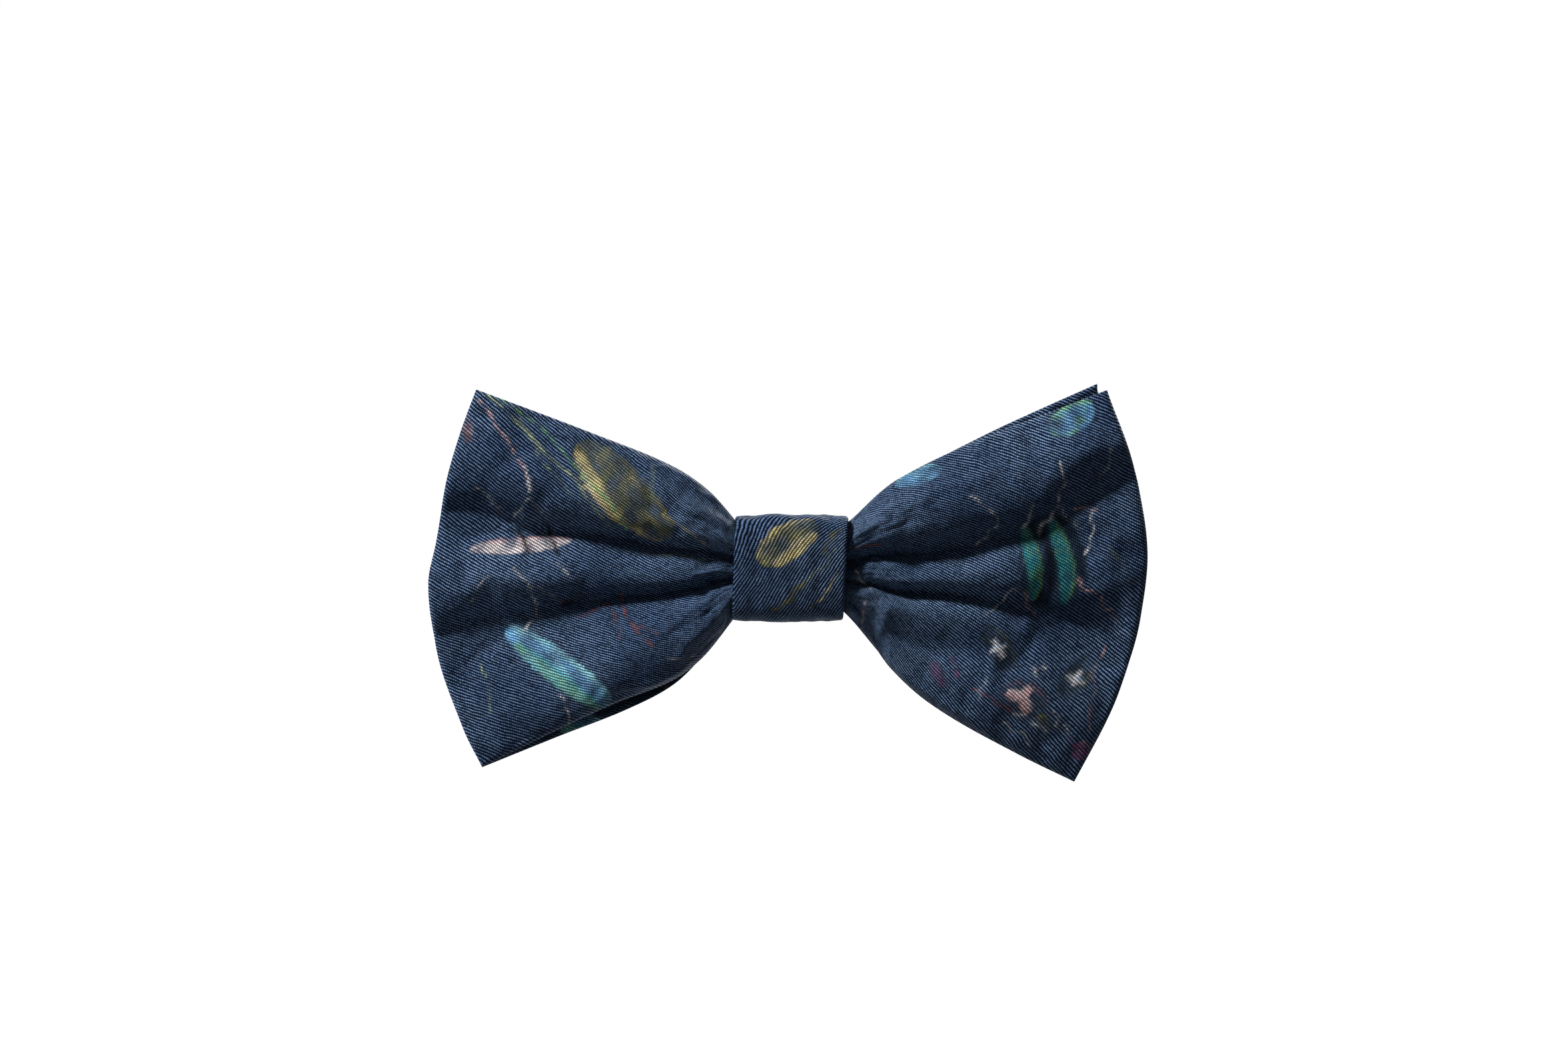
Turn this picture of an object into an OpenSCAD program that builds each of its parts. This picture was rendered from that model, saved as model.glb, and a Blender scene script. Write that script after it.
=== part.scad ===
// Pre-tied butterfly bow tie with a spring collar clip, upright as it is worn.
// The front faces -Y and +Z is up. The origin is the middle of the clip plate's back face,
// where the clip grips the collar, so the knot's middle is at X = 0 and Z = 0.

/* [Bow] */
// Width of the bow across its side edges
bow_w = 120; // [96:1:144]
// Height of the bow between its upper and lower corners
bow_h = 63; // [52:1:76]
// How far each side edge bulges out past its corners
side_bulge = 8; // [4:0.5:12]
// How much lower the bottom corners reach than the top ones
corner_drop = 3.4; // [0:0.2:6]
// Share of the height that the edges gain by flaring beside the knot
edge_flare = 0.3; // [0:0.05:0.4]
// Distance over which the edges flare beside the knot
flare_run = 8.5; // [6:0.5:12]
// How far the back bow's lower edge shows below the front bow's
back_bow_show = 1.6; // [0:0.1:2.5]

/* [Cloth] */
// Thickness of one ply of silk
silk_t = 0.45; // [0.3:0.05:0.7]
// Thickness of the interlining between two silk plies
interlining_t = 0.5; // [0.3:0.05:0.8]
// Air between two plies, and between the two bows
ply_gap = 0.05; // [0.03:0.01:0.15]

/* [Pleats] */
// Depth of the pleats inside the knot
neck_pleat = 3.2; // [2:0.1:3.5]
// Extra depth of the front bow's lobes beside the knot
front_puff = 3.6; // [0:0.1:5]
// Extra depth of the back bow's lobes beside the knot
back_puff = 1.8; // [0:0.1:2.2]
// Depth of the pleats at the side edges
edge_pleat = 0.6; // [0.2:0.1:1.5]
// Height of the centre pleat, as a share of the lobes' height
centre_pleat = 0.72; // [0.3:0.02:1]

/* [Knot] */
// Width of the knot across the front
knot_w = 19; // [15:0.5:24]
// Half the height of the gathered cloth inside the knot
neck_h = 6.3; // [5:0.1:8]
// Thickness of the silk wrap of the knot, which is folded double
knot_silk_t = 0.8; // [0.6:0.05:1.2]
// How far the front of the knot bulges at its middle
knot_crown = 0.9; // [0:0.1:1.6]
// Diameter of the thread that binds the gathers
binding_d = 0.6; // [0.4:0.05:0.8]
// Turns of the binding thread
binding_turns = 4; // [2:1:7]

/* [Clip] */
// Width of the clip plate
plate_w = 58; // [48:1:70]
// Height of the clip plate
plate_h = 12.4; // [12:0.2:14]
// Thickness of the clip's sheet metal
sheet_t = 0.8; // [0.6:0.05:1]
// Distance of each hinge from the middle of the plate
hinge_x = 11; // [10:0.5:13]
// Radius of the hinge pins
pin_r = 0.75; // [0.6:0.05:0.9]
// Running clearance between a pin and its jaw, on the radius
pin_clear = 0.05; // [0.02:0.01:0.09]
// Height of the jaws along their pins
jaw_h = 7.2; // [6:0.2:7.6]
// Clearance between a jaw and the clip plate when it is closed
bite_gap = 0.3; // [0.2:0.05:0.5]
// Thickness of the grip pads
pad_t = 0.95; // [0.7:0.05:1.2]
// Distance from the hinge to the far end of the grip pad
jaw_reach = 16.5; // [14:0.5:20]
// Angle that each jaw opens
jaw_open = 22; // [10:1:24]
// Diameter of the spring wire
spring_d = 0.45; // [0.3:0.05:0.5]
// Whole turns of each spring, besides the half turn between its legs
spring_turns = 4; // [2:1:5]
// Diameter of the thread that sews the clip to the knot
sewing_d = 0.5; // [0.3:0.05:0.7]

/* [Hidden] */
$fn = 48;
EPS = 0.01;
FRONT = -1;
BACK = 1;
LEFT = -1;
RIGHT = 1;

// Knot and neck, from the clip plate's front face towards the front
knot_back = -sheet_t;
neck_clear = 0.2;
binding_r = binding_d / 2;
binding_pitch = binding_d + 0.1;
BINDING_STEPS = 24;
BINDING_SIDES = 6;
bow_t = 2 * silk_t + interlining_t + 2 * ply_gap;
neck_depth = 2 * (bow_t + neck_pleat) + ply_gap;
loop_gap = binding_d + 2 * neck_clear;
loop_t = knot_silk_t + ply_gap + interlining_t;
neck_back = knot_back - loop_t - loop_gap;
split_y = neck_back - neck_depth / 2;
neck_x = knot_w / 2 + 0.1;
lining_inset = 0.5;
LOOP_STEPS = 44;
KNOT_STATIONS = 8;
LOOP_SQUARENESS = 5;

// Stitches of the seam that closes the knot's loop
seam_stitch = 2.2;
seam_pitch = 3.1;
seam_count = 5;
seam_thread_r = 0.16;
seam_clear = 0.03;
seam_free = binding_turns * binding_pitch / 2 + seam_stitch / 2 + 0.4;

// Corners of the bow: upper left, lower left, upper right and lower right. Each pair is how
// far that corner lies outside the plain outline, because the bow is folded by hand.
corner_x = bow_w / 2 - side_bulge;
FRONT_CORNERS = [[0.4, 0], [-0.7, 0], [0.8, 0], [-4.7, 2.4]];
BACK_CORNERS = [[0.1, -0.2], [-0.4, 0.1], [-0.7, 1.0], [-4.6, 2.4]];

// Where the two valleys between the pleats run, as shares of the height from the bottom up
LOWER_VALLEY = [0.43, 0.39];
UPPER_VALLEY = [0.60, 0.64];
// How fast the neck's pleats fade outwards, and how far out the lobes are fullest
NECK_FADE = 1.6;
PUFF_PLACE = 0.6;
COLUMNS = 16;
COLUMN_SPREAD = 1.3;
ROWS = 20;

// Clip
ear_gap = 0.15;
ear_t = sheet_t;
ear_z = jaw_h / 2 + ear_gap;
ear_r = 1.7;
knuckle_r = pin_r + 0.75;
hinge_y = knuckle_r + 0.8;
pin_head_r = pin_r + 0.45;
pin_head_t = 0.45;
pin_fit = 0.02;
pin_stand = 0.05;

// Jaw: arm, raised tip, knuckle, the window round its spring, and finger tab
arm_y = bite_gap + pad_t;
arm_end = hinge_x + jaw_reach;
tip_lift = 1.1;
tip_run = 1.8;
tip_bevel = 0.3;
tab_in = 2;
tab_r = 2.9;
tab_stand = 0.5;
tab_clear = 0.9;
tab_slope = 2.6;
// The tab stands clear of the knuckle, and high enough for the jaw to open
tab_y = max(hinge_y + knuckle_r + tab_stand, (hinge_x - tab_in) * sin(jaw_open) + tab_clear);
shoulder = knuckle_r + 0.4;
jaw_corner_r = 2;
window_z = 2.2;
window_in = 2.5;
window_out = 2.2;

// Grip pad
pad_w = 7.5;
pad_inset = 0.4;
pad_base = pad_t * 0.55;
PAD_RIBS = 5;

// Spring
spring_r = pin_r + 0.2 + spring_d / 2;
spring_pitch = spring_d + 0.06;
spring_rest = spring_d / 2 + 0.05;
leg_len = 4.6;
LEG_BEND = 0.4;
SPRING_STEPS = 16;

// Threads that sew the clip to the knot
sewing_r = sewing_d / 2;
sewing_hole_d = sewing_d + 0.4;
sewing_pair = 2.4;
sewing_bend = 0.45;
sewing_rise = sewing_r + 0.03;
sewing_foot = 0.02 - sheet_t;
sewing_z = plate_h / 2 - 1.35;
SEWING_X = [-6.2, 0, 6.2];

function mix(a, b, t) = a + (b - a) * t;
function unit(a) = a / norm(a);
function flat(rows) = [for (row = rows) each row];

// ---- outline of a bow, in X and Z ----

function corner(side, wing, top) =
    let (corners = side == FRONT ? FRONT_CORNERS : BACK_CORNERS,
        out = corners[(wing == LEFT ? 0 : 2) + (top > 0 ? 0 : 1)])
    [wing * (corner_x + out.x), top * (bow_h / 2 + out.y) - corner_drop / 2];

// Share of the way from the neck to the corner's height, at u of the way out
function flare(u) =
    mix(u, 1 - pow(1 - u, (corner_x - neck_x) / flare_run), edge_flare);

function edge(side, wing, top, u) =
    let (c = corner(side, wing, top),
        show = (side == BACK && top < 0) ? back_bow_show * sin(180 * u) : 0)
    [mix(wing * neck_x, c.x, u), mix(top * neck_h, c.y, flare(u)) - show];

// The side edge bulges until it is half the bow's width from the middle
function outline(side, wing, u, v) =
    let (low = corner(side, wing, -1),
        high = corner(side, wing, 1),
        bulge = bow_w / 2 - wing * (low.x + high.x) / 2)
    mix(edge(side, wing, -1, u), edge(side, wing, 1, u), v)
    + [wing * bulge * 4 * v * (1 - v) * u * u, 0];

// ---- pleats: how far a bow stands off the split between the two bows ----

function hump(v, a, b) = sin(180 * (v - a) / (b - a));

function pleat(u, v) =
    let (lower = mix(LOWER_VALLEY[0], LOWER_VALLEY[1], u),
        upper = mix(UPPER_VALLEY[0], UPPER_VALLEY[1], u))
    v < lower ? hump(v, 0, lower)
    : v < upper ? centre_pleat * hump(v, lower, upper)
    : hump(v, upper, 1);

function pleat_depth(side, u) =
    mix(edge_pleat, neck_pleat, pow(1 - u, NECK_FADE))
    + (side == FRONT ? front_puff : back_puff) * pow(sin(180 * pow(u, PUFF_PLACE)), 2) * (1 - u);

function bow_point(side, wing, u, v, lift) =
    let (p = outline(side, wing, u, v),
        off = ply_gap / 2 + lift + pleat_depth(side, u) * pleat(u, v))
    [p.x, split_y + side * off, p.y];

// Columns run from the left side edge through the neck to the right side edge
function bow_grid(side, lift) = concat(
    [for (i = [0 : COLUMNS]) [for (j = [0 : ROWS])
        bow_point(side, LEFT, pow(1 - i / COLUMNS, COLUMN_SPREAD), j / ROWS, lift)]],
    [for (i = [0 : COLUMNS]) [for (j = [0 : ROWS])
        bow_point(side, RIGHT, pow(i / COLUMNS, COLUMN_SPREAD), j / ROWS, lift)]]);

// A sheet between two grids of points, of which the first is nearer the front
module sheet_between(near, far) {
    rows = len(near[0]);
    count = len(near) * rows;
    cells = [for (i = [0 : len(near) - 2]) for (j = [0 : rows - 2]) i * rows + j];
    last = (len(near) - 1) * rows;
    rim = concat(
        [for (j = [0 : rows - 2]) [j + 1, j]],
        [for (j = [0 : rows - 2]) [last + j, last + j + 1]],
        [for (i = [0 : len(near) - 2]) [i * rows, (i + 1) * rows]],
        [for (i = [0 : len(near) - 2]) [(i + 2) * rows - 1, (i + 1) * rows - 1]]);
    faces = concat(
        [for (a = cells) each [[a, a + 1, a + rows + 1], [a, a + rows + 1, a + rows]]],
        [for (a = cells) each [[a, a + rows + 1, a + 1] + count * [1, 1, 1],
            [a, a + rows, a + rows + 1] + count * [1, 1, 1]]],
        [for (e = rim) each [[e[0], e[1], e[1] + count], [e[0], e[1] + count, e[0] + count]]]);
    polyhedron(points = concat(flat(near), flat(far)), faces = faces);
}

// One ply of a bow, from one height above the split to another
module bow_ply(side, low, high) {
    if (side == FRONT) {
        sheet_between(bow_grid(side, high), bow_grid(side, low));
    } else {
        sheet_between(bow_grid(side, low), bow_grid(side, high));
    }
}

inner_top = silk_t;
middle_low = inner_top + ply_gap;
middle_top = middle_low + interlining_t;
outer_low = middle_top + ply_gap;
outer_top = outer_low + silk_t;

module front_bow_face() {
    color("midnightblue") bow_ply(FRONT, outer_low, outer_top);
}

module front_bow_interlining() {
    color("ivory") bow_ply(FRONT, middle_low, middle_top);
}

module front_bow_backing() {
    color("midnightblue") bow_ply(FRONT, 0, inner_top);
}

module back_bow_face() {
    color("midnightblue") bow_ply(BACK, 0, inner_top);
}

module back_bow_interlining() {
    color("ivory") bow_ply(BACK, middle_low, middle_top);
}

module back_bow_backing() {
    color("midnightblue") bow_ply(BACK, outer_low, outer_top);
}

// ---- round things swept along a path ----

// A wire of radius r along a path. The path is never parallel to up.
module wire(path, r, up, sides = 8) {
    n = len(path);
    rings = [for (i = [0 : n - 1])
        let (t = unit(path[min(i + 1, n - 1)] - path[max(i - 1, 0)]),
            a = unit(cross(up, t)),
            b = cross(t, a))
        [for (k = [0 : sides - 1])
            path[i] + r * (a * cos(360 * k / sides) + b * sin(360 * k / sides))]];
    walls = [for (i = [0 : n - 2]) for (k = [0 : sides - 1])
        let (m = (k + 1) % sides, p = i * sides, q = p + sides)
        each [[p + k, q + k, q + m], [p + k, q + m, p + m]]];
    start = [for (k = [0 : sides - 1]) k];
    end = [for (k = [sides - 1 : -1 : 0]) (n - 1) * sides + k];
    polyhedron(points = flat(rings), faces = concat(walls, [start, end]));
}

// ---- knot: closed loops round the neck, about the X axis ----

// A point of the rounded section round the neck, grown by g. Angle 0 is at the back.
function loop_point(angle, g, x, crown) =
    let (c = cos(angle), s = sin(angle), k = LOOP_SQUARENESS,
        r = pow(pow(abs(c), k) + pow(abs(s), k), -1 / k),
        front = max(0, -c))
    [x, split_y + (neck_depth / 2 + g) * r * c - crown * front * front,
        (neck_h + g) * r * s];

function loop_ring(g, x, crown) = [for (k = [0 : LOOP_STEPS - 1])
    loop_point(360 * k / LOOP_STEPS, g, x, crown)];

module sleeve(inner, outer, width) {
    n = KNOT_STATIONS;
    m = LOOP_STEPS;
    xs = [for (i = [0 : n]) width * (i / n - 0.5)];
    crowns = [for (x = xs) knot_crown * (1 - pow(2 * x / knot_w, 2))];
    out = [for (i = [0 : n]) loop_ring(outer, xs[i], crowns[i])];
    inn = [for (i = [0 : n]) loop_ring(inner, xs[i], crowns[i])];
    o = (n + 1) * m;
    walls = [for (i = [0 : n - 1]) for (k = [0 : m - 1])
        let (a = i * m + k, b = i * m + (k + 1) % m)
        each [[a, a + m, b + m], [a, b + m, b],
            [o + a, o + b + m, o + a + m], [o + a, o + b, o + b + m]]];
    ends = [for (k = [0 : m - 1])
        let (b = (k + 1) % m, e = n * m)
        each [[k, b, o + b], [k, o + b, o + k],
            [e + b, e + k, o + e + k], [e + b, o + e + k, o + e + b]]];
    polyhedron(points = concat(flat(out), flat(inn)), faces = concat(walls, ends));
}

module knot_interlining() {
    color("ivory") sleeve(loop_gap, loop_gap + interlining_t, knot_w - 2 * lining_inset);
}

module knot_wrap() {
    color("midnightblue")
        sleeve(loop_gap + interlining_t + ply_gap, loop_gap + loop_t, knot_w);
}

module gather_binding() {
    path = [for (i = [0 : BINDING_STEPS * binding_turns])
        let (turn = i / BINDING_STEPS)
        loop_point(360 * turn, neck_clear + binding_r, binding_pitch * (turn - binding_turns / 2), 0)];
    color("black") wire(path, binding_r, [1, 0, 0], BINDING_SIDES);
}

// The seam that closes the knot's loop lies inside its back, next to the binding
module knot_seam_stitches() {
    y = neck_back + loop_gap - seam_thread_r - seam_clear;
    color("navy") for (i = [0 : seam_count - 1]) {
        x = (i - (seam_count - 1) / 2) * seam_pitch;
        if (abs(x) > seam_free) {
            translate([x, y, 0]) rotate([0, 90, 0])
                cylinder(h = seam_stitch, r = seam_thread_r, center = true);
        }
    }
}

// ---- clip ----

module along_y(from, to) {
    translate([0, from, 0]) rotate([-90, 0, 0]) linear_extrude(to - from) children();
}

module plate_outline() {
    straight = plate_w / 2 - plate_h / 2;
    square([2 * straight, plate_h], center = true);
    for (s = [LEFT, RIGHT]) translate([s * straight, 0]) circle(d = plate_h);
}

function sewing_holes() = [for (x = SEWING_X) for (z = [-sewing_z, sewing_z])
    for (d = [-0.5, 0.5]) [x + d * sewing_pair, z]];

module clip_plate() {
    color("silver") difference() {
        union() {
            along_y(-sheet_t, 0) plate_outline();
            for (s = [LEFT, RIGHT]) for (z = [-1, 1]) {
                translate([s * hinge_x, 0, z * (ear_z + ear_t / 2)])
                    linear_extrude(ear_t, center = true) {
                        translate([-ear_r, -sheet_t / 2]) square([2 * ear_r, hinge_y + sheet_t / 2]);
                        translate([0, hinge_y]) circle(r = ear_r);
                    }
            }
        }
        for (p = sewing_holes()) translate([p.x, 0, p.y]) rotate([90, 0, 0])
            cylinder(h = 3 * sheet_t, d = sewing_hole_d, center = true, $fn = 24);
        for (s = [LEFT, RIGHT]) translate([s * hinge_x, hinge_y, 0])
            cylinder(h = 2 * plate_h, r = pin_r + pin_fit, center = true);
    }
}

// Each stitch goes through a pair of holes and lies on the plate's back
module clip_stitches() {
    half = sewing_pair / 2;
    leg_top = sewing_rise - sewing_bend;
    path = concat(
        [[-half, sewing_foot, 0], [-half, leg_top, 0]],
        [for (a = [30 : 30 : 90])
            [sewing_bend * (1 - cos(a)) - half, leg_top + sewing_bend * sin(a), 0]],
        [for (a = [90 : -30 : 30])
            [half - sewing_bend * (1 - cos(a)), leg_top + sewing_bend * sin(a), 0]],
        [[half, leg_top, 0], [half, sewing_foot, 0]]);
    color("black") for (x = SEWING_X) for (z = [-sewing_z, sewing_z])
        translate([x, 0, z]) wire(path, sewing_r, [0, 0, 1]);
}

module hinge_pin(wing) {
    length = 2 * (ear_z + ear_t + pin_stand);
    color("gainsboro") translate([wing * hinge_x, hinge_y, 0]) {
        cylinder(h = length, r = pin_r, center = true);
        for (z = [-1, 1]) translate([0, 0, z * (length + pin_head_t) / 2])
            cylinder(h = pin_head_t, r = pin_head_r, center = true);
    }
}

// The side of a jaw as seen along its pin: arm, raised tip and finger tab
module jaw_side() {
    top = arm_y + sheet_t;
    polygon([[hinge_x, arm_y], [arm_end, arm_y], [arm_end + tip_run, arm_y + tip_lift],
        [arm_end + tip_run - tip_bevel, top + tip_lift], [arm_end - tip_bevel, top],
        [hinge_x, top]]);
    slope_x = hinge_x - tab_slope;
    polygon([[hinge_x, hinge_y + knuckle_r - sheet_t], [hinge_x, hinge_y + knuckle_r],
        [slope_x, tab_y + sheet_t], [tab_in, tab_y + sheet_t],
        [tab_in, tab_y], [slope_x, tab_y]]);
    translate([hinge_x, hinge_y]) circle(r = knuckle_r);
}

// The jaw seen from behind, with a round finger tab and round arm corners
module jaw_face() {
    far = arm_end + tip_run;
    translate([tab_in + tab_r, 0]) circle(r = tab_r);
    translate([tab_in + tab_r, -tab_r]) square([hinge_x - tab_in - tab_r, 2 * tab_r]);
    translate([hinge_x - shoulder, -jaw_h / 2])
        square([far - jaw_corner_r - hinge_x + shoulder, jaw_h]);
    translate([far - jaw_corner_r - EPS, jaw_corner_r - jaw_h / 2])
        square([jaw_corner_r + EPS, jaw_h - 2 * jaw_corner_r]);
    for (z = [-1, 1]) translate([far - jaw_corner_r, z * (jaw_h / 2 - jaw_corner_r)])
        circle(r = jaw_corner_r);
}

module right_side_jaw() {
    difference() {
        intersection() {
            linear_extrude(jaw_h, center = true) jaw_side();
            along_y(0, tab_y + 2 * sheet_t) jaw_face();
        }
        translate([hinge_x - window_in, 0, -window_z])
            cube([window_in + window_out, tab_y + 2 * sheet_t, 2 * window_z]);
        translate([hinge_x, hinge_y, 0])
            cylinder(h = 2 * jaw_h, r = pin_r + pin_clear, center = true);
    }
}

module left_jaw() {
    color("silver") mirror([1, 0, 0]) right_side_jaw();
}

module right_jaw() {
    color("silver") right_side_jaw();
}

// A ribbed pad under the end of the arm
module right_side_pad() {
    rib_w = pad_w / (2 * PAD_RIBS - 1);
    height = jaw_h - 2 * pad_inset;
    near = arm_end - pad_w;
    translate([near, arm_y - pad_base, -height / 2]) cube([pad_w, pad_base, height]);
    for (i = [0 : PAD_RIBS - 1]) translate([near + 2 * i * rib_w, bite_gap, -height / 2])
        cube([rib_w, pad_t - pad_base + EPS, height]);
}

module left_grip_pad() {
    color("dimgray") mirror([1, 0, 0]) right_side_pad();
}

module right_grip_pad() {
    color("dimgray") right_side_pad();
}

module left_hinge_pin() {
    hinge_pin(LEFT);
}

module right_hinge_pin() {
    hinge_pin(RIGHT);
}

// One leg rests on the plate, the coil sits round the pin and the other leg lifts the tab
module right_side_spring() {
    turns = spring_turns + 0.5;
    reach = turns * spring_pitch / 2;
    low = spring_rest - hinge_y;
    high = tab_y - hinge_y - spring_rest;
    steps = SPRING_STEPS * turns;
    path = concat(
        [[-leg_len, low, -reach], [-leg_len / 2, mix(low, -spring_r, LEG_BEND), -reach]],
        [for (i = [0 : steps]) let (a = 360 * i / SPRING_STEPS - 90)
            [spring_r * cos(a), spring_r * sin(a), mix(-reach, reach, i / steps)]],
        [[-leg_len / 2, mix(high, spring_r, LEG_BEND), reach], [-leg_len, high, reach]]);
    translate([hinge_x, hinge_y, 0]) wire(path, spring_d / 2, [0, 0, 1]);
}

module left_jaw_spring() {
    color("lightgray") mirror([1, 0, 0]) right_side_spring();
}

module right_jaw_spring() {
    color("lightgray") right_side_spring();
}

front_bow_face();
front_bow_interlining();
front_bow_backing();
back_bow_face();
back_bow_interlining();
back_bow_backing();
gather_binding();
knot_interlining();
knot_wrap();
knot_seam_stitches();
clip_plate();
clip_stitches();
left_hinge_pin();
right_hinge_pin();
left_jaw();
right_jaw();
left_grip_pad();
right_grip_pad();
left_jaw_spring();
right_jaw_spring();
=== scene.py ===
import math

import bmesh
import bpy
import numpy as np
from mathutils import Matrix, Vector


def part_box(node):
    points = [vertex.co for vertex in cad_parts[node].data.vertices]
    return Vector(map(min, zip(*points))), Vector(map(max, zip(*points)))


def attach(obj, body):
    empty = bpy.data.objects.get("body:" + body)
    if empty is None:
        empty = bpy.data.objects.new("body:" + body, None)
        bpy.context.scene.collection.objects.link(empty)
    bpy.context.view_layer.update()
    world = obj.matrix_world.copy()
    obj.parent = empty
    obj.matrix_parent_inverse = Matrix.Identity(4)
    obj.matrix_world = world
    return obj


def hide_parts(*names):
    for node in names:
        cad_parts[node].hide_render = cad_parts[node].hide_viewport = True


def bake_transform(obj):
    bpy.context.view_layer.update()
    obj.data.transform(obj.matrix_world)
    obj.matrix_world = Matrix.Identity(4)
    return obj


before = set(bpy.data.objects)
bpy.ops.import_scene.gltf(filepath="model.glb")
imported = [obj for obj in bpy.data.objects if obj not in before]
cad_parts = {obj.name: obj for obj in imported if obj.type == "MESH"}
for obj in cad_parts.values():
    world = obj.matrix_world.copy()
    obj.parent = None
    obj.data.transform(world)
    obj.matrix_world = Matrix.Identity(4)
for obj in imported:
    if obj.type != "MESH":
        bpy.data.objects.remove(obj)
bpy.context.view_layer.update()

# Lengths below are in millimetres with the knot's middle at X = 0 and Z = 0, and MM turns them
# into the frame's metres. X is to the right and Z up as seen from the front, and -Y is the front.
MM = 0.001


# -------- camera, light and backdrop

# A long lens about a metre in front of the bow, level with a point a little above the knot
CAMERA_LENS, SENSOR_WIDTH = 137.7, 36.0
CAMERA_PLACE = (-1.06 * MM, -1.009, 7.6 * MM)
# The lamps point at the middle of the bow's front
LAMP_AIM = (0, -0.008, 0)


def add_object(name, data):
    made = bpy.data.objects.new(name, data)
    bpy.context.collection.objects.link(made)
    return made


def add_camera():
    data = bpy.data.cameras.new("camera")
    data.lens = CAMERA_LENS
    data.sensor_width = SENSOR_WIDTH
    data.clip_start = 0.01
    camera = add_object("camera", data)
    camera.location = CAMERA_PLACE
    camera.rotation_euler = (math.radians(90), 0, 0)
    bpy.context.scene.camera = camera


def add_lamp(name, place, size, watts):
    data = bpy.data.lights.new(name, "AREA")
    data.shape = "DISK"
    data.size = size
    data.energy = watts
    lamp = add_object(name, data)
    lamp.location = place
    lamp.rotation_euler = (Vector(LAMP_AIM) - Vector(place)).to_track_quat("-Z", "Y").to_euler()


add_camera()


# -------- node helper

class Graph:
    """Short calls that add nodes to a tree. A value is a number, a tuple or another node's output."""

    def __init__(self, tree):
        self.tree = tree

    def node(self, kind, **settings):
        made = self.tree.nodes.new(kind)
        for name, value in settings.items():
            setattr(made, name, value)
        return made

    def put(self, socket, value):
        if isinstance(value, bpy.types.NodeSocket):
            self.tree.links.new(value, socket)
        elif value is not None:
            socket.default_value = value

    def fill(self, node, **values):
        """Sets or links a node's inputs by name, with _ for a space."""
        for name, value in values.items():
            self.put(node.inputs[name.replace("_", " ")], value)

    def feed(self, node, *values):
        """Sets or links a node's inputs in their order, and gives its first output."""
        for socket, value in zip(node.inputs, values):
            self.put(socket, value)
        return node.outputs[0]

    def math(self, operation, a, b=None, c=None, clamp=False):
        return self.feed(self.node("ShaderNodeMath", operation=operation, use_clamp=clamp), a, b, c)

    def times(self, a, b):
        return self.math("MULTIPLY", a, b)

    def vector(self, operation, a, b=None):
        made = self.node("ShaderNodeVectorMath", operation=operation)
        self.feed(made, a, b)
        return made.outputs["Value" if operation in ("DOT_PRODUCT", "LENGTH") else "Vector"]

    def mix(self, factor, a, b, blend="MIX"):
        made = self.node("ShaderNodeMix", data_type="RGBA", blend_type=blend)
        self.put(made.inputs[0], factor)
        self.put(made.inputs[6], a)
        self.put(made.inputs[7], b)
        return made.outputs[2]

    def blend(self, factor, a, b):
        made = self.node("ShaderNodeMix", data_type="FLOAT")
        self.put(made.inputs[0], factor)
        self.put(made.inputs[2], a)
        self.put(made.inputs[3], b)
        return made.outputs[0]

    def step(self, value, low, high, out_low=0.0, out_high=1.0):
        """Smooth step of value from low to high."""
        made = self.node("ShaderNodeMapRange", interpolation_type="SMOOTHSTEP")
        return self.feed(made, value, low, high, out_low, out_high)

    def noise(self, vector, scale, detail=2.0, rough=0.5, output="Fac"):
        made = self.node("ShaderNodeTexNoise")
        self.fill(made, Vector=vector, Scale=scale, Detail=detail, Roughness=rough)
        return made.outputs[output]

    def xy(self, x, y):
        return self.feed(self.node("ShaderNodeCombineXYZ"), x, y)

    def attribute(self, name):
        return self.node("ShaderNodeAttribute", attribute_name=name).outputs["Vector"]

    def bump(self, height, distance, strength=1.0):
        made = self.node("ShaderNodeBump")
        self.fill(made, Strength=strength, Distance=distance, Height=height)
        return made.outputs[0]

    def object_place(self):
        """Places on a piece in its own millimetres."""
        place = self.node("ShaderNodeTexCoord").outputs["Object"]
        return self.vector("MULTIPLY", place, (1 / MM,) * 3)


def colour(r, g, b):
    """A colour given as 0 to 255 on a screen, as linear RGBA."""
    return tuple((c / 255) ** 2.2 for c in (r, g, b)) + (1.0,)


def new_material(name):
    material = bpy.data.materials.new(name)
    material.use_nodes = True
    material.node_tree.nodes.clear()
    graph = Graph(material.node_tree)
    shader = graph.node("ShaderNodeBsdfPrincipled")
    output = graph.node("ShaderNodeOutputMaterial")
    material.node_tree.links.new(shader.outputs[0], output.inputs[0])
    return material, graph, shader


# How bright the world is to the light that falls on the bow. The camera sees it as white
AMBIENT = 0.07
FLOOR_Z = -0.15
# The floor is solid within the first distance from its middle and gone at the second
FLOOR_CLEAR, FLOOR_RADIUS = 0.15, 0.5
FLOOR_WHITE, FLOOR_BOUNCE = (0.9, 0.9, 0.9, 1), (0.1, 0.1, 0.1, 1)


def seen_directly(g):
    """1 for what the camera, gloss and glass see, and 0 for the light that falls on the bow."""
    path = g.node("ShaderNodeLightPath").outputs
    seen = g.math("MAXIMUM", path["Is Camera Ray"], path["Is Glossy Ray"])
    return g.math("MAXIMUM", seen, path["Is Transmission Ray"])


def set_up_world():
    world = bpy.data.worlds.new("studio")
    bpy.context.scene.world = world
    world.use_nodes = True
    world.node_tree.nodes.clear()
    g = Graph(world.node_tree)
    background = g.node("ShaderNodeBackground")
    g.fill(background, Color=(1, 1, 1, 1), Strength=g.blend(seen_directly(g), AMBIENT, 1.0))
    output = g.node("ShaderNodeOutputWorld")
    world.node_tree.links.new(background.outputs[0], output.inputs[0])


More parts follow.
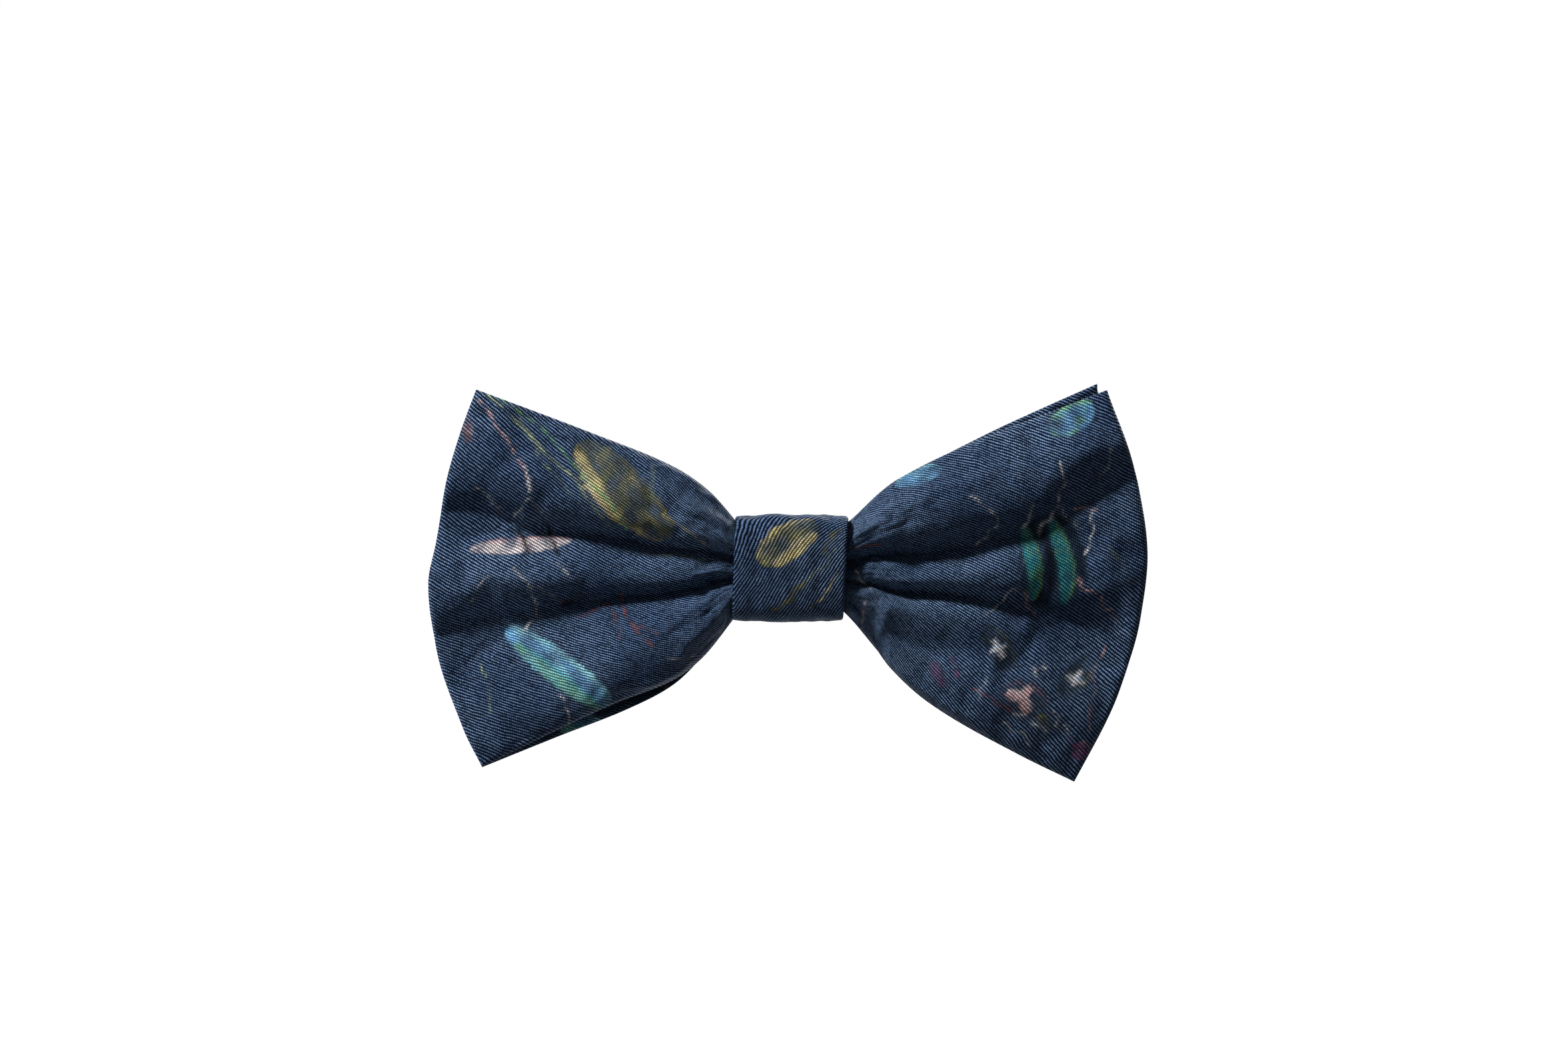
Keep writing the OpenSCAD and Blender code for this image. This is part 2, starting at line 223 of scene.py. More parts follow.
def add_floor():
    """A pale table under the bow, white to the camera apart from the bow's shadow."""
    mesh = bpy.data.meshes.new("floor")
    maker = bmesh.new()
    bmesh.ops.create_circle(maker, cap_ends=True, segments=96, radius=FLOOR_RADIUS)
    maker.to_mesh(mesh)
    maker.free()
    floor = add_object("floor", mesh)
    floor.location.z = FLOOR_Z
    material, g, shader = new_material("pale_floor")
    # the floor thins out towards its rim, so that no edge shows against the backdrop
    reach = g.vector("LENGTH", g.node("ShaderNodeTexCoord").outputs["Object"])
    g.fill(shader, Base_Color=g.mix(seen_directly(g), FLOOR_BOUNCE, FLOOR_WHITE), Roughness=0.9,
           Alpha=g.step(reach, FLOOR_CLEAR, FLOOR_RADIUS, 1, 0))
    mesh.materials.append(material)


set_up_world()
add_floor()
add_lamp("key", (-0.6, -0.42, 0.8), 0.2, 18.5)
add_lamp("front", (-0.2, -1.1, -0.15), 0.5, 0.5)
add_lamp("low fill", (-0.5, -0.5, -0.42), 0.3, 1.6)
add_lamp("rim", (0.25, 0.8, 0.5), 0.3, 5.0)
add_lamp("below", (0.1, 0.55, -0.6), 0.4, 3.0)


# -------- shape of the bow

def follow(points, at):
    """A smooth line through (x, y) points, read at the values at, without overshoot."""
    x, y = np.array(points, float).T
    step = np.diff(y) / np.diff(x)
    slope = np.concatenate([[step[0]], np.where(step[1:] * step[:-1] > 0,
                            2 * step[1:] * step[:-1] / (step[1:] + step[:-1] + 1e-12), 0),
                            [step[-1]]])
    at = np.clip(at, x[0], x[-1])
    k = np.clip(np.searchsorted(x, at, side="right") - 1, 0, len(x) - 2)
    h = x[k + 1] - x[k]
    t = (at - x[k]) / h
    return ((1 + 2 * t) * (1 - t) ** 2 * y[k] + t * (1 - t) ** 2 * h * slope[k]
            + t * t * (3 - 2 * t) * y[k + 1] + t * t * (t - 1) * h * slope[k + 1])


def mix(a, b, t):
    return a + (b - a) * t


def waves(x, z, length, seed, count=14):
    """Soft noise from -1 to 1 with bumps about length apart."""
    random = np.random.default_rng(seed)
    total = np.zeros(np.broadcast(x, z).shape)
    for _ in range(count):
        angle, phase = random.uniform(0, 2 * math.pi, 2)
        k = 2 * math.pi / (length * random.uniform(0.7, 1.5))
        total += np.cos(k * (x * math.cos(angle) + z * math.sin(angle)) + phase)
    return total / math.sqrt(count)


def line_distance(x, z, points):
    """How far each place lies from the line through points, and how far along it, from 0 to 1."""
    best = np.full(x.shape, np.inf)
    along = np.zeros(x.shape)
    for k, (start, end) in enumerate(zip(points, points[1:])):
        way = np.subtract(end, start)
        t = np.clip(((x - start[0]) * way[0] + (z - start[1]) * way[1]) / way.dot(way), 0, 1)
        distance = np.hypot(x - start[0] - t * way[0], z - start[1] - t * way[1])
        along = np.where(distance < best, (k + t) / (len(points) - 1), along)
        best = np.minimum(distance, best)
    return best, along


FRONT, BACK = -1, 1
LEFT, RIGHT = -1, 1
KNOT_LOW, KNOT_HIGH = (np.array(corner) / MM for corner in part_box("knot_wrap"))
SPLIT_Y = (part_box("front_bow_backing")[1][1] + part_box("back_bow_face")[0][1]) / 2 / MM
SILK_T = 0.45
# Two plies of silk and the lining between them
BOW_THICKNESS = 1.5
# From the plane between the bows to the cloth that lies against it
PLY_GAP = 0.03
# The neck's half width and half height, and how much the thread round it flattens its pleats
NECK_X, NECK_HALF = 8.2, 6.6
NECK_PRESS = 0.95

# Edges of each wing from the neck out: distance from the middle, and height
EDGES = {
    (FRONT, LEFT, 1): [(NECK_X, NECK_HALF), (10, 9), (13.9, 13.2), (19.4, 16.9), (33, 22.5), (52.4, 29.8)],
    (FRONT, LEFT, -1): [(NECK_X, -NECK_HALF), (10, -9.2), (15, -15.3), (19.4, -18.6), (29.7, -22.7),
                        (44.5, -29.7), (51.3, -33.1)],
    (FRONT, RIGHT, 1): [(NECK_X, NECK_HALF), (10, 8), (14.9, 12.6), (17.7, 14.7), (32.6, 21.9),
                        (43, 25.9), (52.8, 29.7)],
    (FRONT, RIGHT, -1): [(NECK_X, -NECK_HALF), (10, -8.4), (13.1, -11.8), (16.6, -16.6), (23, -22.4),
                         (37.9, -31), (47.3, -35.6)],
    (BACK, LEFT, 1): [(NECK_X, NECK_HALF), (10, 8.6), (19.4, 16.4), (33, 21.8), (52.1, 29.5)],
    (BACK, LEFT, -1): [(NECK_X, -NECK_HALF), (10, -9), (19.4, -19.4), (26.8, -23.4), (38.9, -28.2),
                       (51.5, -33.3)],
    (BACK, RIGHT, 1): [(NECK_X, NECK_HALF), (10, 8), (17.7, 14.2), (32.6, 22.3), (41.4, 26.4), (51.3, 30.8)],
    (BACK, RIGHT, -1): [(NECK_X, -NECK_HALF), (10, -8.4), (16.6, -16), (30.8, -27), (47.3, -35.4)],
}
# Side edges from the bottom up: height, and distance from the middle
SIDES = {
    LEFT: [(-33.1, 51.3), (-26.7, 54.5), (-12.7, 59.2), (-2.6, 60.3), (4.2, 59.1), (14, 57.4),
           (22.5, 55), (29.8, 52.4)],
    RIGHT: [(-35.6, 47.3), (-20.3, 54.9), (-8, 58.4), (2, 59.5), (13.4, 58.1), (29.7, 52.8)],
}
# Valleys between the pleats: way out from the neck, and height as a share from the bottom up
VALLEYS = {
    (FRONT, LEFT): ([(0, 0.43), (0.3, 0.415), (0.6, 0.4), (0.85, 0.37), (1, 0.34)],
                    [(0, 0.62), (0.3, 0.63), (0.6, 0.65), (0.85, 0.655), (1, 0.66)]),
    (FRONT, RIGHT): ([(0, 0.36), (0.15, 0.4), (0.4, 0.45), (0.65, 0.44), (0.85, 0.36), (1, 0.31)],
                     [(0, 0.58), (0.3, 0.62), (0.6, 0.66), (0.85, 0.735), (1, 0.79)]),
    (BACK, LEFT): ([(0, 0.4), (1, 0.36)], [(0, 0.6), (1, 0.66)]),
    (BACK, RIGHT): ([(0, 0.42), (1, 0.38)], [(0, 0.6), (1, 0.68)]),
}
# Depth of the pleats along the wing, and how sharp their valleys are
PLEAT_DEPTH = {
    FRONT: [(0, 3.4), (0.08, 4.8), (0.22, 5.9), (0.45, 5.4), (0.7, 4.2), (0.9, 2.7), (1, 1.8)],
    BACK: [(0, 3.3), (0.1, 3.8), (0.3, 3.6), (0.6, 2.2), (1, 0.4)],
}
CENTRE_PLEAT = [(0, 0.75), (0.3, 0.66), (0.7, 0.75), (1, 0.9)]
SHARPNESS = [(0, 0.6), (0.3, 0.72), (0.6, 1.0), (1, 1.5)]
# Where each lobe's crest lies: in its middle at 1, nearer the valley below it at less than 1
LOWER_LEAN = {LEFT: [(0, 1.1), (0.3, 0.7), (0.6, 0.42), (1, 0.32)],
              RIGHT: [(0, 1.4), (0.3, 1.3), (0.6, 0.95), (1, 0.6)]}
CENTRE_LEAN = 0.62
UPPER_LEAN = {LEFT: 0.66, RIGHT: 0.8}
# How far forward the lower edge stays, as a share of the lowest pleat's depth
LOWER_RAISE = {LEFT: [(0, 0), (0.15, 0.1), (0.4, 0.6), (0.7, 0.85), (1, 0.95)],
               RIGHT: [(0, 0), (0.2, 0.15), (0.5, 0.4), (1, 0.5)]}
# Extra creases and hollows: the line they follow, depth, half width, and 1 for sharp or 2 for soft.
# A fold's depth stops fading FOLD_END of its length before its ends.
FOLD_END = 0.08
FOLDS = {
    (FRONT, LEFT): [
        ([(-9, 7.2), (-12.5, 10.5), (-17, 13)], 0.9, 1, 1),
        ([(-9, 4.6), (-14, 7.6), (-23, 10.4)], 0.8, 1.2, 1),
        ([(-9, -3.4), (-14, -7.5), (-20, -11)], 0.8, 1.1, 1),
        ([(-9, -6.8), (-12, -11), (-17, -16)], 0.9, 1, 1),
        ([(-43, 6.6), (-51, 8.4), (-59, 7.6)], 1.5, 4, 2),
        ([(-46, -8.4), (-52, -10.4), (-59, -11.5)], 1.3, 3.2, 2),
        ([(-33, 0.6), (-44, -1.4), (-56, -1.6)], -0.7, 3.4, 2),
        ([(-38, 20), (-45, 18), (-53, 20)], -0.5, 5, 2),
        ([(-26, -12), (-35, -18), (-44, -25)], -0.6, 5, 2),
    ],
    (FRONT, RIGHT): [
        ([(9, 6), (12.5, 8.8), (18, 12)], 0.9, 1, 1),
        ([(9, 3.4), (14, 5.6), (24, 9)], 0.7, 1.3, 1),
        ([(9, -3.8), (11, -6.4), (13.5, -10)], 1.2, 0.9, 1),
        ([(9.5, -5.6), (16, -9.4), (24, -15)], 0.6, 1.3, 1),
        ([(14, -8.6), (24, -12.5), (36, -15)], 3.1, 4.6, 2),
        ([(40, 7), (48, 8.5), (57, 8)], -0.9, 3.6, 2),
        ([(38, -7), (48, -9), (58, -8)], 1.6, 4, 2),
        ([(45, 10.6), (50, 14.4), (56, 17)], 1.2, 2.8, 2),
        ([(42, -11), (48, -14), (56, -14)], 1.2, 3, 2),
        ([(40, 18), (47, 21), (54, 20)], -0.6, 4, 2),
        ([(27, 1), (38, 2), (52, 1)], -0.6, 3.6, 2),
    ],
    (BACK, LEFT): [([(-9, 3), (-24, 8), (-40, 12)], 0.6, 2, 1)],
    (BACK, RIGHT): [([(9, -3), (24, -9), (40, -13)], 0.6, 2, 1)],
}
# Little creases that fan out from the knot: spacing, sharpness, bend, depth and how far they reach
CREASES = [(7, 2.6, 0.25, 0.65, 7), (11, 2.2, 0.2, 0.5, 16)]
CREASE_START = 9.0
# Soft unevenness all over: spacing and height of the large and of the small bumps
SWELL, SWELL_HEIGHT = 20, 0.24
RIPPLE, RIPPLE_HEIGHT = 7, 0.04
# How far the cloth lies off the plane between the bows at its edges, and the share of its pleats left there
REST_LIFT, EDGE_SHARE = 0.35, 0.35
# The flat cloth's height at the neck and at the side edges
FLAT_NECK, FLAT_EDGE = 46.0, 63.0

# Points along and across each wing, closer together near the knot and near the edges
COLUMNS, ROWS = ((150, 150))
NECK_COLUMNS = 24
COLUMN_CROWDING = 1.25
ROW_CROWDING = [(4, 0.0275), (2, 0.08)]

# The cloth simulation: its grid, how firmly the cloth keeps its modelled shape, the most that it may
# move, how much too long it is cut, its length in frames, and its scale in metres to a millimetre:
# ten times life size, because cloth settings are made for larger pieces
SETTLE_COLUMNS, SETTLE_ROWS = 110, 42
HOLD = 0.2
SETTLE_MOST = 1.6
SPARE_LENGTH = 0.028
SETTLE_FRAMES = 16
SIM_SCALE = 0.01
SPREAD_PASSES = 5


def settled_cloth(grid, hold):
    """Where a grid of cloth points comes to rest in a cloth simulation. hold is how firmly each is kept."""
    ni, nj = grid.shape[:2]
    index = np.arange(ni * nj).reshape(ni, nj)
    faces = np.stack([index[:-1, :-1], index[1:, :-1], index[1:, 1:], index[:-1, 1:]], -1).reshape(-1, 4)
    mesh = bpy.data.meshes.new("settling")
    mesh.from_pydata((grid.reshape(-1, 3) * SIM_SCALE).tolist(), [], faces.tolist())
    trial = add_object("settling", mesh)
    group = trial.vertex_groups.new(name="hold")
    for weight in np.unique(hold):
        group.add(np.flatnonzero(hold.ravel() == weight).tolist(), float(weight), "REPLACE")
    cloth = trial.modifiers.new("Cloth", "CLOTH")
    settings = cloth.settings
    settings.quality = 6
    settings.mass = 0.1
    settings.tension_stiffness = settings.compression_stiffness = 20
    settings.shear_stiffness = 8
    settings.bending_stiffness = 0.05
    settings.shrink_min = -SPARE_LENGTH
    settings.vertex_group_mass = "hold"
    settings.pin_stiffness = 1
    settings.effector_weights.gravity = 0
    cloth.collision_settings.use_collision = False
    for number in range(1, SETTLE_FRAMES + 1):
        bpy.context.scene.frame_set(number)
    evaluated = trial.evaluated_get(bpy.context.evaluated_depsgraph_get())
    points = np.empty(ni * nj * 3, np.float32)
    evaluated.data.vertices.foreach_get("co", points)
    bpy.data.objects.remove(trial)
    bpy.data.meshes.remove(mesh)
    bpy.context.scene.frame_set(1)
    return points.reshape(ni, nj, 3) / SIM_SCALE


def smooth(values):
    """Averages each of the values with its neighbours. The first and the last stay."""
    values[1:-1] = (values[:-2] + 2 * values[1:-1] + values[2:]) / 4


def spread(values, rows, columns, shape):
    """Values on every few rows and columns, spread smoothly over a whole grid."""
    values = np.stack([np.interp(np.arange(shape[0]), rows, line) for line in values.T], 1)
    values = np.stack([np.interp(np.arange(shape[1]), columns, line) for line in values])
    for _ in range(SPREAD_PASSES):
        smooth(values)
        smooth(values.T)
    return values


class Bow:
    """One layer of the bow: the middle surface of its cloth as grids of points and flat cloth places."""

    def __init__(self, side):
        self.side = side
        out = np.linspace(0, 1, COLUMNS) ** COLUMN_CROWDING
        t = rows = np.linspace(0, 1, ROWS)
        for halves, amount in ROW_CROWDING:
            rows = rows - amount * np.sin(halves * math.pi * t)
        left = self.wing(LEFT, out[::-1], rows)
        middle = self.neck(np.linspace(-NECK_X, NECK_X, NECK_COLUMNS)[1:-1], rows)
        right = self.wing(RIGHT, out, rows)
        parts = [np.concatenate(p) for p in zip(left, middle, right)]
        self.x, self.z, self.lift, self.out, self.share = parts
        self.y = SPLIT_Y + side * (self.lift + BOW_THICKNESS / 2 + PLY_GAP)
        self.settle()
        self.find_cloth()

    def edge(self, wing, top, out):
        points = EDGES[self.side, wing, top]
        x = mix(points[0][0], points[-1][0], out)
        return x, follow(points, x)

    def wing(self, wing, out, rows):
        out, share = np.meshgrid(out, rows, indexing="ij")
        low_x, low_z = self.edge(wing, -1, out)
        high_x, high_z = self.edge(wing, 1, out)
        x, z = mix(low_x, high_x, share), mix(low_z, high_z, share)
        corner_low, corner_high = EDGES[self.side, wing, -1][-1], EDGES[self.side, wing, 1][-1]
        side_z = mix(corner_low[1], corner_high[1], share)
        side_x = follow(SIDES[wing], side_z)
        bulge = side_x - mix(corner_low[0], corner_high[0], share)
        bulge -= mix(bulge[:, :1], bulge[:, -1:], share)
        x = x + bulge * out ** 2
        return wing * x, z, self.pleats(wing, out, share, wing * x, z), out, share

    def neck(self, x, rows):
        x, share = np.meshgrid(x, rows, indexing="ij")
        z = mix(-NECK_HALF, NECK_HALF, share)
        t = (x + NECK_X) / (2 * NECK_X)
        zero = np.zeros_like(x)
        lift = mix(self.pleats(LEFT, zero, share, x, z), self.pleats(RIGHT, zero, share, x, z), t)
        # the thread wound round the neck presses the two bows together
        lift *= 1 - NECK_PRESS * (1 - (x / NECK_X) ** 2)
        return x, z, lift, zero, share

    def pleats(self, wing, out, share, x, z):
        lower, upper = (follow(line, out) for line in VALLEYS[self.side, wing])
        sharp = follow(SHARPNESS, out)

        def hump(low, high, lean, base=0):
            rise = np.clip((share - low) / (high - low), 0, 1) ** lean
            wave = np.sin(math.pi * rise) ** sharp
            return np.where(rise < 0.5, mix(base, 1, wave), wave)

        base = follow(LOWER_RAISE[wing], out) * (self.side == FRONT)
        shape = np.where(share < lower, hump(0, lower, follow(LOWER_LEAN[wing], out), base),
                         np.where(share < upper, follow(CENTRE_PLEAT, out) * hump(lower, upper, CENTRE_LEAN),
                                  hump(upper, 1, UPPER_LEAN[wing])))
        lift = follow(PLEAT_DEPTH[self.side], out) * shape
        for points, depth, width, power in FOLDS[self.side, wing]:
            distance, along = line_distance(x, z, points)
            middle = np.sin(math.pi * np.clip(along, FOLD_END, 1 - FOLD_END)) ** 0.6
            lift -= depth * middle * np.exp(-(distance / width) ** power)
        seed = 7 + self.side + 3 * wing
        far = np.abs(x)
        angle = np.arctan2(z, far - 3)
        for k, (spacing, sharpness, bend, depth, reach) in enumerate(CREASES):
            crease = np.exp(-sharpness * np.abs(waves(angle * 20, far * bend, spacing, seed + k)))
            past = np.clip(far - CREASE_START, 0, None)
            lift -= depth * fade(far, CREASE_START - 1.5, CREASE_START + 1) * crease * np.exp(-past / reach)
        soft = waves(x, z, SWELL, seed + 2) * SWELL_HEIGHT * out
        soft += waves(x, z, RIPPLE, seed + 3) * RIPPLE_HEIGHT
        # the lift fades over a thirtieth of the height at the lower edge and an eighth at the upper
        inside = np.clip(np.minimum(share * 30, (1 - share) * 8), 0, 1)
        return np.maximum(REST_LIFT + (lift + soft) * mix(mix(EDGE_SHARE, 1, base), 1, inside), 0.0)

    def settle(self):
        """Let the cloth, cut a little too long for its shape, settle into small natural wrinkles."""
        rows = np.unique(np.linspace(0, self.x.shape[0] - 1, SETTLE_COLUMNS).round().astype(int))
        columns = np.unique(np.linspace(0, self.x.shape[1] - 1, SETTLE_ROWS).round().astype(int))
        grid = np.stack([self.x, self.y, self.z], -1)[np.ix_(rows, columns)]
        out, share = self.out[np.ix_(rows, columns)], self.share[np.ix_(rows, columns)]
        # the neck and the edges don't move
        hold = np.where((out < 0.05) | (out > 0.995) | (share < 0.01) | (share > 0.99), 1.0, HOLD)
        moved = settled_cloth(grid, hold) - grid
        moved *= np.minimum(1, SETTLE_MOST / np.maximum(np.linalg.norm(moved, axis=-1, keepdims=True), 1e-9))
        for values, axis in ((self.x, 0), (self.y, 1), (self.z, 2)):
            values += spread(moved[..., axis], rows, columns, values.shape)
        floor = BOW_THICKNESS / 2 + PLY_GAP
        self.y = SPLIT_Y + self.side * np.maximum(self.side * (self.y - SPLIT_Y), floor)

    def find_cloth(self):
        """Where each point lies on the flat cloth: along the bow and across it."""
        p = np.stack([self.x, self.y, self.z], -1)
        run = np.linalg.norm(np.diff(p, axis=0), axis=-1)
        run = np.concatenate([np.zeros((1, run.shape[1])), np.cumsum(run, axis=0)])
        middle = np.argmin(np.abs(self.x[:, ROWS // 2]))
        run -= run[middle]
        # smooth from row to row, so that the small wrinkles don't shift the weave
        for _ in range(ROWS // 3):
            smooth(run.T)
        self.along = run
        self.across = (self.share - 0.5) * mix(FLAT_NECK, FLAT_EDGE, self.out)

    def cloth_at(self, x, z):
        """The flat cloth place that shows at x and z from the front."""
        nearest = np.argmin((self.x - x) ** 2 + (self.z - z) ** 2)
        return self.along.flat[nearest], self.across.flat[nearest]

    def rim(self, radius):
        """0 at the cloth's edge and 1 from radius inwards, as a quarter circle."""
        p = np.stack([self.x, self.z], -1)
        near = np.minimum.reduce([
            np.linalg.norm(p - p[:, :1], axis=-1), np.linalg.norm(p - p[:, -1:], axis=-1),
            np.linalg.norm(p - p[:1], axis=-1), np.linalg.norm(p - p[-1:], axis=-1)])
        t = np.clip(near / radius, 0, 1)
        return np.sqrt(np.clip(1 - (1 - t) ** 2, 0, 1))


def make_piece(name, points, faces, flat, material):
    """A smooth mesh piece from points in millimetres. flat is where they lie on the flat cloth."""
    mesh = bpy.data.meshes.new(name)
    mesh.from_pydata((np.reshape(points, (-1, 3)) * MM).tolist(), [], faces)
    mesh.polygons.foreach_set("use_smooth", np.ones(len(faces), bool))
    cloth = mesh.attributes.new("cloth", "FLOAT_VECTOR", "POINT")
    cloth.data.foreach_set("vector", np.array(flat, np.float32).ravel())
    mesh.materials.append(material)
    return add_object(name, mesh)


def fix_to_root(piece, node):
    """Says that a piece rides on the root and stands for a CAD node."""
    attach(piece, "root")
    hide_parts(node)


def closed_sheet(name, near, far, along, across, material):
    """A solid between two grids of points, of which near is nearer the front."""
    ni, nj = near.shape[:2]
    count = ni * nj
    index = np.arange(count).reshape(ni, nj)
    a, b, c, d = index[:-1, :-1], index[1:, :-1], index[1:, 1:], index[:-1, 1:]
    front = np.stack([a, b, c, d], -1).reshape(-1, 4)
    back = np.stack([d, c, b, a], -1).reshape(-1, 4) + count
    rim = np.concatenate([
        np.stack([index[:-1, 0], index[1:, 0]], -1)[:, ::-1], np.stack([index[:-1, -1], index[1:, -1]], -1),
        np.stack([index[0, :-1], index[0, 1:]], -1), np.stack([index[-1, :-1], index[-1, 1:]], -1)[:, ::-1]])
    sides = np.stack([rim[:, 0], rim[:, 1], rim[:, 1] + count, rim[:, 0] + count], -1)
    faces = np.concatenate([front, back, sides]).tolist()
    flat = np.stack([along, across, np.zeros_like(along)], -1)
    return make_piece(name, [near, far], faces, [flat, flat], material)


# -------- silk

# The twill's ribs, the floats along each, and how far each rib's floats are shifted from the last's
RIB_ANGLE = math.radians(-31)
RIB_PITCH = 0.48
FLOAT_PITCH = 0.36
FLOAT_STEP = 0.4
# How much of the printed dye shows through the painted shade between the ribs
PRINT_SOAK = 0.2
# The painted shade between the ribs, by which the ink is multiplied there
PAINTED_GAP_SHADE = (0.012, 0.022, 0.044, 1)


def twill(g, cloth):
    """Ribs of a silk twill at flat cloth places: its painted light, with painted highlights on the floats
    and painted shade between the ribs, and how high it stands.
    """
    wander = g.vector("SUBTRACT", g.noise(cloth, 0.3, 2, output="Color"), (0.5, 0.5, 0.5))
    place = g.vector("ADD", cloth, g.vector("MULTIPLY", wander, (0.6, 0.6, 0)))
    across = (-math.sin(RIB_ANGLE) / RIB_PITCH, math.cos(RIB_ANGLE) / RIB_PITCH, 0)
    along = (math.cos(RIB_ANGLE) / FLOAT_PITCH, math.sin(RIB_ANGLE) / FLOAT_PITCH, 0)
    p = g.vector("DOT_PRODUCT", place, across)
    number = g.math("FLOOR", p)
    q = g.math("ADD", g.vector("DOT_PRODUCT", place, along), g.times(number, FLOAT_STEP))
    rib = g.math("ABSOLUTE", g.math("SINE", g.times(p, math.pi)))
    thread = g.math("ABSOLUTE", g.math("SINE", g.times(q, math.pi)))
    dice = g.node("ShaderNodeTexWhiteNoise", noise_dimensions="2D")
    g.put(dice.inputs["Vector"], g.xy(number, g.math("FLOOR", q)))
    # painted highlights on the floats, brighter on some floats than on others
    painted_float_highlight = g.times(thread, g.math("MULTIPLY_ADD", dice.outputs["Value"], 1.3, 0.35))
    slub = g.noise(g.xy(g.times(p, 0.7), g.times(q, 0.09)), 1.0, 2, 0.7)
    painted_float_highlight = g.times(painted_float_highlight, g.step(slub, 0.3, 0.7, 0.6, 1.5))
    # painted light: near 0 the painted shade between the ribs, high on the painted highlights of the floats
    level = g.times(g.math("POWER", rib, 5.6), g.math("MULTIPLY_ADD", painted_float_highlight, 1.5, 0.06))
    dents = g.math("MULTIPLY_ADD", thread, 0.3, 0.7)
    return g.math("MINIMUM", level, 1.0), g.times(g.math("POWER", rib, 0.8), dents)


NAVY = colour(116, 142, 176)
NAVY_DEEP = colour(88, 112, 146)
FLECK = colour(204, 220, 238)
OLIVE, GOLD, CREAM = colour(118, 120, 88), colour(240, 220, 150), colour(255, 244, 214)
AQUA, TEAL = colour(172, 242, 255), colour(72, 196, 204)
GREEN, SKY = colour(146, 214, 154), colour(134, 198, 250)
PINK, BLUSH = colour(255, 206, 206), colour(255, 240, 238)
RUST, PLUM = colour(164, 96, 88), colour(150, 88, 138)
BONE, INK_BLACK, SAGE = colour(246, 247, 250), colour(14, 16, 22), colour(176, 192, 156)

# Printed shapes on the wings, placed as they show from the front. A leaf: its start and end, width,
# core, rim, veins and strength. A stroke: its start and end, width, bow, colour and strength.
WING_LEAVES = [
    (-20.4, 4.6, -35.2, 21.4, 9.4, OLIVE, GOLD, 0.35, 0.9),
    (-28.8, 7.2, -35.4, 19.6, 2.4, GOLD, CREAM, 0.4, 0.8),
    (-47.6, -9.8, -29.8, -22.6, 6.4, SKY, AQUA, 0.8, 0.95),
    (-46.2, -12.4, -31.8, -23.4, 3, GREEN, TEAL, 0.6, 0.7),
    (-53.8, 3.2, -36.4, 4.8, 3.1, BLUSH, PINK, 0.3, 1),
    (-54.2, 25.8, -53.4, 20.6, 2, RUST, BLUSH, 0.5, 0.6),
    (-22.9, 17.6, -22.6, 11.4, 1.1, SAGE, GREEN, 0, 0.5),
    (-38.6, -6.4, -33.8, -4.6, 1.7, INK_BLACK, RUST, 0, 0.8),
    (42.8, 22.8, 50.8, 27.2, 5, SKY, GREEN, 0.8, 0.9),
    (17.2, 13.8, 25.4, 16.6, 4.4, SKY, AQUA, 0.7, 0.85),
    (42.8, 9.4, 41.8, -7.4, 11.4, INK_BLACK, INK_BLACK, 0, 0.85),
    (38.4, 7.6, 40.2, -5.8, 2.8, TEAL, GREEN, 0.9, 0.65),
    (43.2, 8.6, 45.4, -6.2, 3, TEAL, GREEN, 0.9, 0.65),
    (41, 8.8, 42.4, -6.4, 1.4, INK_BLACK, INK_BLACK, 0, 0.9),
    (32.6, -9.4, 36.6, -17, 4.4, INK_BLACK, OLIVE, 0.8, 0.8),
    (33.6, -11.8, 35.4, -15.2, 1.1, BONE, BONE, 0, 1),
    (33, -14.2, 36.2, -12.8, 1.1, BONE, SKY, 0, 0.9),
    (49.8, -15.2, 45, -21.6, 4.8, INK_BLACK, OLIVE, 0.8, 0.8),
    (48.4, -16.6, 46.6, -20.2, 1.1, BONE, BONE, 0, 1),
    (45.8, -17.6, 49.2, -19, 1.1, BONE, SKY, 0, 0.9),
    (34.8, -20, 42.6, -23.4, 6.4, INK_BLACK, RUST, 0.4, 0.6),
    (35.6, -20.4, 38.6, -21.8, 1.9, PINK, BLUSH, 0.3, 1),
    (38.2, -21.6, 40.2, -19.4, 1.8, PINK, BLUSH, 0.3, 1),
    (38.3, -21, 39.8, -24.2, 1.9, PINK, BLUSH, 0.3, 1),
    (23.4, -15.4, 25.6, -19.8, 2.6, PLUM, INK_BLACK, 0.3, 0.7),
    (47.4, -29.2, 50.2, -31.8, 3.4, PLUM, PINK, 0.4, 0.75),
    (41.2, -24, 43.6, -26.4, 2, OLIVE, INK_BLACK, 0.3, 0.8),
]
